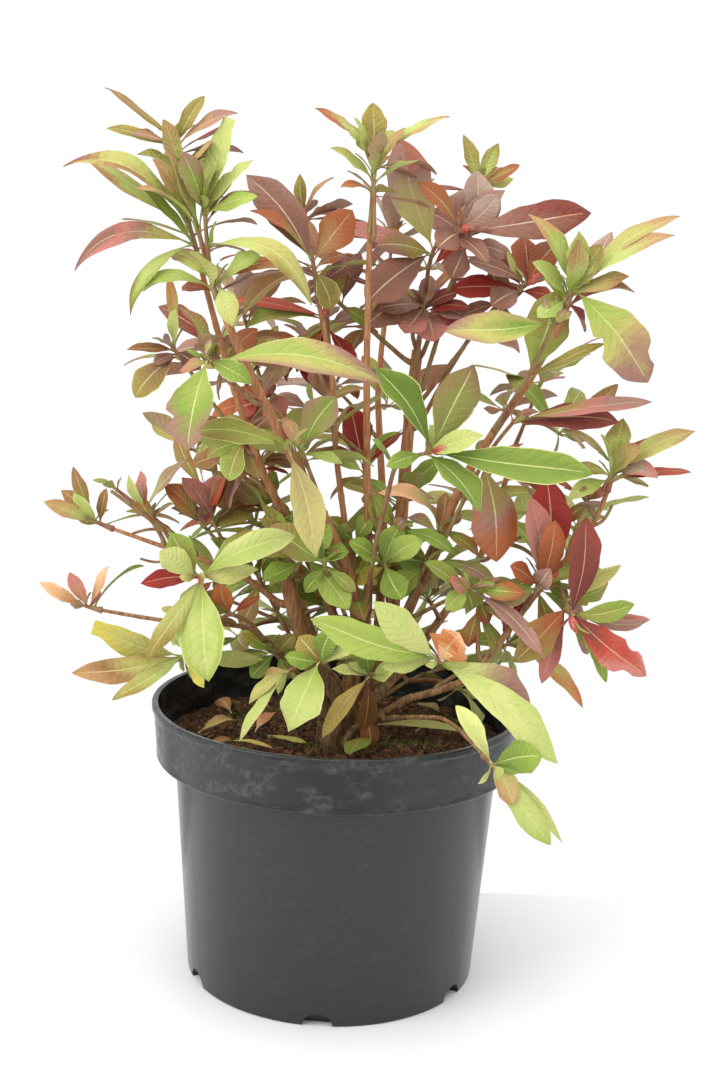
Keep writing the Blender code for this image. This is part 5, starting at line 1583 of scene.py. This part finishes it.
def drain_arch(bearing):
    """A cutter for one notch: a flattened drum lying on its side, pointing at the pot's middle."""
    depth = NOTCH_DEPTH + CUTTER_REACH
    bm = bmesh.new()
    bmesh.ops.create_cone(bm, cap_ends=True, segments=40, radius1=0.5, radius2=0.5, depth=1)
    bmesh.ops.rotate(bm, cent=(0, 0, 0), matrix=Matrix.Rotation(math.pi / 2, 3, "Y"), verts=bm.verts)
    bmesh.ops.scale(bm, vec=(depth * MM, NOTCH_WIDTH * MM, NOTCH_HEIGHT * 2 * MM), verts=bm.verts)
    bmesh.ops.translate(bm, vec=((BASE_RADIUS + CUTTER_REACH - depth / 2) * MM, 0, 0), verts=bm.verts)
    bmesh.ops.rotate(bm, cent=(0, 0, 0), matrix=Matrix.Rotation(bearing, 3, "Z"), verts=bm.verts)
    return new_object("drain_arch", mesh_from(bm, "drain_arch"))


def make_pot(made):
    """The moulded pot: rounded foot with six drain arches, a stepped collar and a thin rolled lip."""
    foot = POT_HEIGHT - COLLAR_HEIGHT
    inner = RIM_RADIUS - LIP_WIDTH
    outside = rounded([
        (BASE_RADIUS - 12, 0), (BASE_RADIUS, 0), (body_radius(foot - 3.5), foot - 3.5),
        (COLLAR_FOOT_RADIUS - 2.5, foot - 0.8), (COLLAR_FOOT_RADIUS + 0.6, foot + 0.6),
        (COLLAR_FOOT_RADIUS + 0.4, foot + 4.5), (RIM_RADIUS - 1.7, POT_HEIGHT - 5.6),
        (RIM_RADIUS, POT_HEIGHT - 4.4), (RIM_RADIUS, POT_HEIGHT - 0.6), (RIM_RADIUS - 1.6, POT_HEIGHT),
        (inner, POT_HEIGHT - 0.5)], 1.6)
    inside = rounded([
        (inner, POT_HEIGHT - 0.5), (inner, POT_HEIGHT - 4), (COLLAR_FOOT_RADIUS - WALL - 0.4, foot + 3),
        (body_radius(foot) - WALL, foot - 3), (BASE_RADIUS - WALL, FLOOR_THICKNESS),
        (BASE_RADIUS - 20, FLOOR_THICKNESS)], 1.6)
    profile = [(0, 0)] + outside[:-1] + inside + [(0, FLOOR_THICKNESS)]
    blank = new_object("pot_blank", mesh_from(turned(profile, POT_SIDES), "pot_blank"))
    cutters = [drain_arch(math.radians(NOTCH_FIRST + k * 360 / NOTCHES)) for k in range(NOTCHES)]
    for cutter in cutters:
        cut = blank.modifiers.new(cutter.name, "BOOLEAN")
        cut.operation = "DIFFERENCE"
        cut.object = cutter
    mesh = realised(blank, "nursery_pot")
    for cutter in cutters:
        bpy.data.objects.remove(cutter)
    smooth(mesh, 38)
    add_piece("nursery_pot", mesh, [made], ["pot"])


def soil_lift(x, y):
    """The peat's lumps: level at the trunk, up to SOIL_BUMP further out."""
    share = min(max((math.hypot(x, y) - FLAT_RADIUS) / 40, 0), 1)
    lumps = math.sin(x / 17 + 1.1) * math.cos(y / 14 - 0.4) + 0.6 * math.sin(x / 9 - y / 11)
    return share * SOIL_BUMP * 0.6 * lumps


def make_peat(made):
    """A plug with a lumpy top, its rim tucked against the pot's wall."""
    foot = POT_HEIGHT - COLLAR_HEIGHT
    edge = COLLAR_FOOT_RADIUS - WALL - 0.2
    profile = [
        (0, FLOOR_THICKNESS + 1), (BASE_RADIUS - WALL - 1, FLOOR_THICKNESS + 1),
        (body_radius(foot - 3) - WALL - 0.6, foot - 3), (edge - 0.4, foot + 3.5)]
    profile += [(edge * (1 - k / PEAT_RINGS), SOIL_HEIGHT) for k in range(PEAT_RINGS)] + [(0, SOIL_HEIGHT)]
    bm = turned(profile, PEAT_SIDES)
    rng = random.Random(5)
    for vert in bm.verts:
        if vert.co.z > (SOIL_HEIGHT - 0.01) * MM:
            x, y = vert.co.x / MM, vert.co.y / MM
            crumb = rng.uniform(-PEAT_CRUMB, PEAT_CRUMB) if math.hypot(x, y) > PEAT_LEVEL else 0
            vert.co.z += (soil_lift(x, y) + crumb) * MM
    mesh = mesh_from(bm, "peat")
    mesh.shade_smooth()
    add_piece("peat", mesh, [made], ["soil"])


def scatter_tree(name):
    """Pieces strewn over the upward faces of a surface, inside a mask attribute, and realised."""
    tree, given, out = new_tree(name, [
        ("Piece", "Object"), ("Density", "Float"), ("Smallest", "Float"), ("Largest", "Float"),
        ("Tumble", "Float"), ("Seed", "Int"), ("Mask", "String"), ("Material", "Material")])
    given = given.outputs
    mask = add_node(tree, "GeometryNodeInputNamedAttribute", {"Name": given["Mask"]}, data_type="FLOAT")
    density = calc(tree, "MULTIPLY", mask.outputs[0], given["Density"])
    strewn = add_node(tree, "GeometryNodeDistributePointsOnFaces", {
        "Mesh": given["Geometry"], "Density": density, "Seed": given["Seed"]})
    size = add_node(tree, "FunctionNodeRandomValue", {
        2: given["Smallest"], 3: given["Largest"], "Seed": given["Seed"]}, data_type="FLOAT")
    tilt = add_node(tree, "ShaderNodeCombineXYZ", {0: given["Tumble"], 1: given["Tumble"], 2: math.pi})
    back = add_node(tree, "ShaderNodeVectorMath", {0: tilt.outputs[0], "Scale": -1.0}, operation="SCALE")
    turn = add_node(tree, "FunctionNodeRandomValue", {
        0: back.outputs[0], 1: tilt.outputs[0], "Seed": given["Seed"]}, data_type="FLOAT_VECTOR")
    one = add_node(tree, "GeometryNodeObjectInfo", {"Object": given["Piece"]})
    laid = add_node(tree, "GeometryNodeInstanceOnPoints", {
        "Points": strewn.outputs[0], "Instance": one.outputs["Geometry"],
        "Rotation": turn.outputs[0], "Scale": size.outputs[1]})
    finish_tree(tree, laid.outputs[0], given["Material"], out)
    return tree


def soil_surface():
    """The open top of the peat as a helper, with masks for crumbs and for moss."""
    bm = bmesh.new()
    bmesh.ops.create_grid(bm, x_segments=70, y_segments=70, size=126 * MM)
    for vert in bm.verts:
        vert.co.z = (SOIL_HEIGHT + soil_lift(vert.co.x / MM, vert.co.y / MM)) * MM
    mesh = mesh_from(bm, "peat_top")
    crumbs = mesh.attributes.new("crumbs", "FLOAT", "POINT")
    moss = mesh.attributes.new("moss", "FLOAT", "POINT")
    for vert, a, b in zip(mesh.vertices, crumbs.data, moss.data):
        x, y = vert.co.x / MM, vert.co.y / MM
        reach = math.hypot(x, y)
        a.value = 1.0 if LITTER_RADII[0] < reach < LITTER_RADII[1] else 0.0
        patch = max(math.exp(-(((x - px) / sx) ** 2 + ((y - py) / sy) ** 2)) for px, py, sx, sy in MOSS)
        b.value = patch if MOSS_RADII[0] < reach < MOSS_RADII[1] and patch > 0.25 else 0.0
    return new_object("peat_top", mesh)


def crumb_shape():
    """A lump of peat about 2 mm across."""
    rng = random.Random(11)
    bm = bmesh.new()
    bmesh.ops.create_icosphere(bm, subdivisions=1, radius=1 * MM)
    for vert in bm.verts:
        vert.co *= rng.uniform(0.7, 1.25)
    return bm


def fibre_shape():
    """A bent three-sided thread about 10 mm long."""
    bm = bmesh.new()
    for k in range(5):
        x, y, z = (k - 2) * 2.4, math.sin(k * 1.3) * 0.9, 0.5 * math.cos(k)
        ring = [
            bm.verts.new((x * MM, (y + dy) * MM, (z + dz) * MM))
            for dy, dz in ((0.22, 0), (-0.11, 0.19), (-0.11, -0.19))]
        if k:
            for j in range(3):
                bm.faces.new((last[j], last[(j + 1) % 3], ring[(j + 1) % 3], ring[j]))
        else:
            bm.faces.new(ring[::-1])
        last = ring
    bm.faces.new(last)
    bmesh.ops.recalc_face_normals(bm, faces=bm.faces)
    return bm


def moss_shape():
    """Seven spikes of moss in a tuft."""
    bm = bmesh.new()
    for k in range(7):
        a = k * 2.4
        foot = Vector((math.cos(a), math.sin(a), 0)) * 0.8
        tip = foot * 2.4 + Vector((0, 0, 2.6 + (k % 3) * 0.8))
        corners = [
            bm.verts.new((foot + Vector((math.cos(b), math.sin(b), -0.6)) * 0.55) * MM)
            for b in (0, 2.09, 4.19)]
        top = bm.verts.new(tip * MM)
        bm.faces.new(corners[::-1])
        for j in range(3):
            bm.faces.new((corners[j], corners[(j + 1) % 3], top))
    bmesh.ops.recalc_face_normals(bm, faces=bm.faces)
    return bm


def make_litter(crumb_made, fibre_made, moss_made):
    """Crumbs, fibres and moss on the peat."""
    tree = scatter_tree("strewn_on_peat")
    for name, shape, mask, density, smallest, largest, tumble, made in (
        ("peat_crumbs", crumb_shape(), "crumbs", 34000, 0.9, 3.6, 3.1, crumb_made),
        ("peat_fibres", fibre_shape(), "crumbs", 15000, 0.6, 2.3, 0.5, fibre_made),
        ("moss", moss_shape(), "moss", 120000, 0.4, 1.0, 0.6, moss_made),
    ):
        one = new_object(name + "_one", mesh_from(shape, name + "_one"))
        top = soil_surface()
        grow_with(top, tree, {
            "Piece": one, "Density": density, "Smallest": smallest, "Largest": largest,
            "Tumble": tumble, "Seed": len(name), "Mask": mask, "Material": made})
        mesh = realised(top, name)
        add_piece(name, mesh, [] if mesh.materials else [made], ())
        bpy.data.objects.remove(one)


# ---------------------------------------------------------------- the room and the camera

TABLE_EDGE = 0.133
TABLE_FRONT = -0.42
TABLE_RIGHT = 0.5
WALL_FACE = 2.4
CAMERA_PLACE = (0.012, -1.096, 0.535)
CAMERA_TURN = (79.535, -2.082, 0.384)  # degrees about X, Y and Z
LENS_MM = 50.0


def slab(name, low, high, made):
    """A block of the room between two corners."""
    bm = bmesh.new()
    bmesh.ops.create_cube(bm, size=1)
    for vert in bm.verts:
        vert.co = [low[k] if vert.co[k] < 0 else high[k] for k in range(3)]
    mesh = mesh_from(bm, name)
    mesh.materials.append(made)
    new_object(name, mesh)


def make_room():
    """A white table on a pale floor, and a pale wall behind it."""
    table = new_material("painted_table", {"Base Color": colour("#FAFBFC"), "Roughness": 0.55})[0]
    wall = new_material("lit_backdrop", {
        "Base Color": colour("#9A9A9A"), "Roughness": 0.9,
        "Emission Color": colour("#FFFFFF"), "Emission Strength": 0.68})[0]
    floor = new_material("pale_stone_floor", {"Base Color": colour("#C6C6C8"), "Roughness": 1.0})[0]
    slab("table", (-1.6, TABLE_FRONT, -0.03), (TABLE_RIGHT, TABLE_EDGE, 0), table)
    slab("wall", (-5, WALL_FACE, -2), (5, WALL_FACE + 0.1, 5), wall)
    slab("floor", (-5, -4, -1.2), (5, WALL_FACE, -1.1), floor)


def make_camera():
    lens = bpy.data.cameras.new("camera")
    lens.lens = LENS_MM
    lens.sensor_width = 36
    lens.clip_start = 0.02
    camera = new_object("camera", lens)
    camera.location = CAMERA_PLACE
    camera.rotation_euler = [math.radians(turn) for turn in CAMERA_TURN]
    bpy.context.scene.camera = camera


def make_lights():
    """Soft window light from the left, and a pale room all round."""
    world = bpy.data.worlds.new("room")
    bpy.context.scene.world = world
    world.use_nodes = True
    sky = world.node_tree.nodes["Background"].inputs
    sky["Color"].default_value = (0.98, 0.99, 1.0, 1)
    sky["Strength"].default_value = 1.08
    for name, place, aim, size, power in (
        ("window", (-1.7, -1.2, 1.6), (0, 0, 0.35), 1.5, 23),
        ("overhead", (0.1, -0.3, 2.2), (0, 0, 0.3), 1.4, 11),
    ):
        light = bpy.data.lights.new(name, "AREA")
        light.size = size
        light.energy = power
        lamp = new_object(name, light)
        lamp.location = place
        lamp.rotation_euler = (Vector(aim) - Vector(place)).to_track_quat("-Z", "Y").to_euler()
    # A plain tone curve, so that the white wall and table stay white and the leaves keep their colours.
    bpy.context.scene.view_settings.view_transform = "Standard"


def make_plant():
    """Stems, twigs, leaves and buds."""
    limbs = make_limb_paths()
    masses, rng = plan_masses(limbs)
    look = random.Random(71)
    make_stems("stems", stem_routes(limbs, look), bark_material(), 20, 0.17, 2.4, list(limbs))
    twigs = [route for mass in masses for route in mass.routes(look)] + snag_routes(look)
    held = [mass.name for mass in masses if not mass.finer]
    make_stems("twigs", twigs, twig_material(), 10, 0.12, 2.0, held)

    placed = []
    front, back, inner, young, buds = [], [], [], [], []
    for mass in masses:
        (inner if mass.finer else back if mass.forked else front).extend(mass.leaves(rng, look, placed))
        more_buds, more_young = mass.tips(look)
        buds += more_buds
        young += more_young
    fallen = [
        Leaf(Vector(root), Vector(reach), width, arch, Vector((0, -0.2, 1)), tint)
        for root, reach, width, arch, tint in FALLEN]
    in_front = [mass.name for mass in masses if not mass.forked and not mass.finer]
    behind = [mass.name for mass in masses if mass.forked]
    palette = Palette()
    shape = random.Random(9)
    wear([
        join_leaves(name, leaves, palette, nodes, shape)
        for name, leaves, nodes, slot in (
            ("leaves_front", front, in_front, "lime_leaf"),
            ("leaves_back", back, behind, "bronze_leaf"),
            ("leaves_inner", inner, (), "bronze_leaf"),
            ("young_leaves", young, (), "lime_leaf"),
            ("fallen_leaves", fallen, (), "bronze_leaf"))
    ], palette.materials())
    make_buds(buds, [
        plain_material("flower_bud", "#B23A38", "#DC8070", 2.0, 0.45),
        plain_material("leaf_bud", "#A89A5A", "#8E5A40", 1.5, 0.5)])


def main():
    """The plant, its pot and peat, and the room round them."""
    make_plant()
    make_pot(plastic_material())
    make_peat(peat_material())
    make_litter(
        plain_material("peat_crumb", "#301C10", "#865E3C", 6, 0.95),
        plain_material("peat_fibre", "#6A4428", "#B8925E", 8, 0.9),
        plain_material("moss_green", "#42541E", "#8A9A40", 5, 0.85))
    make_room()
    make_camera()
    make_lights()


main()
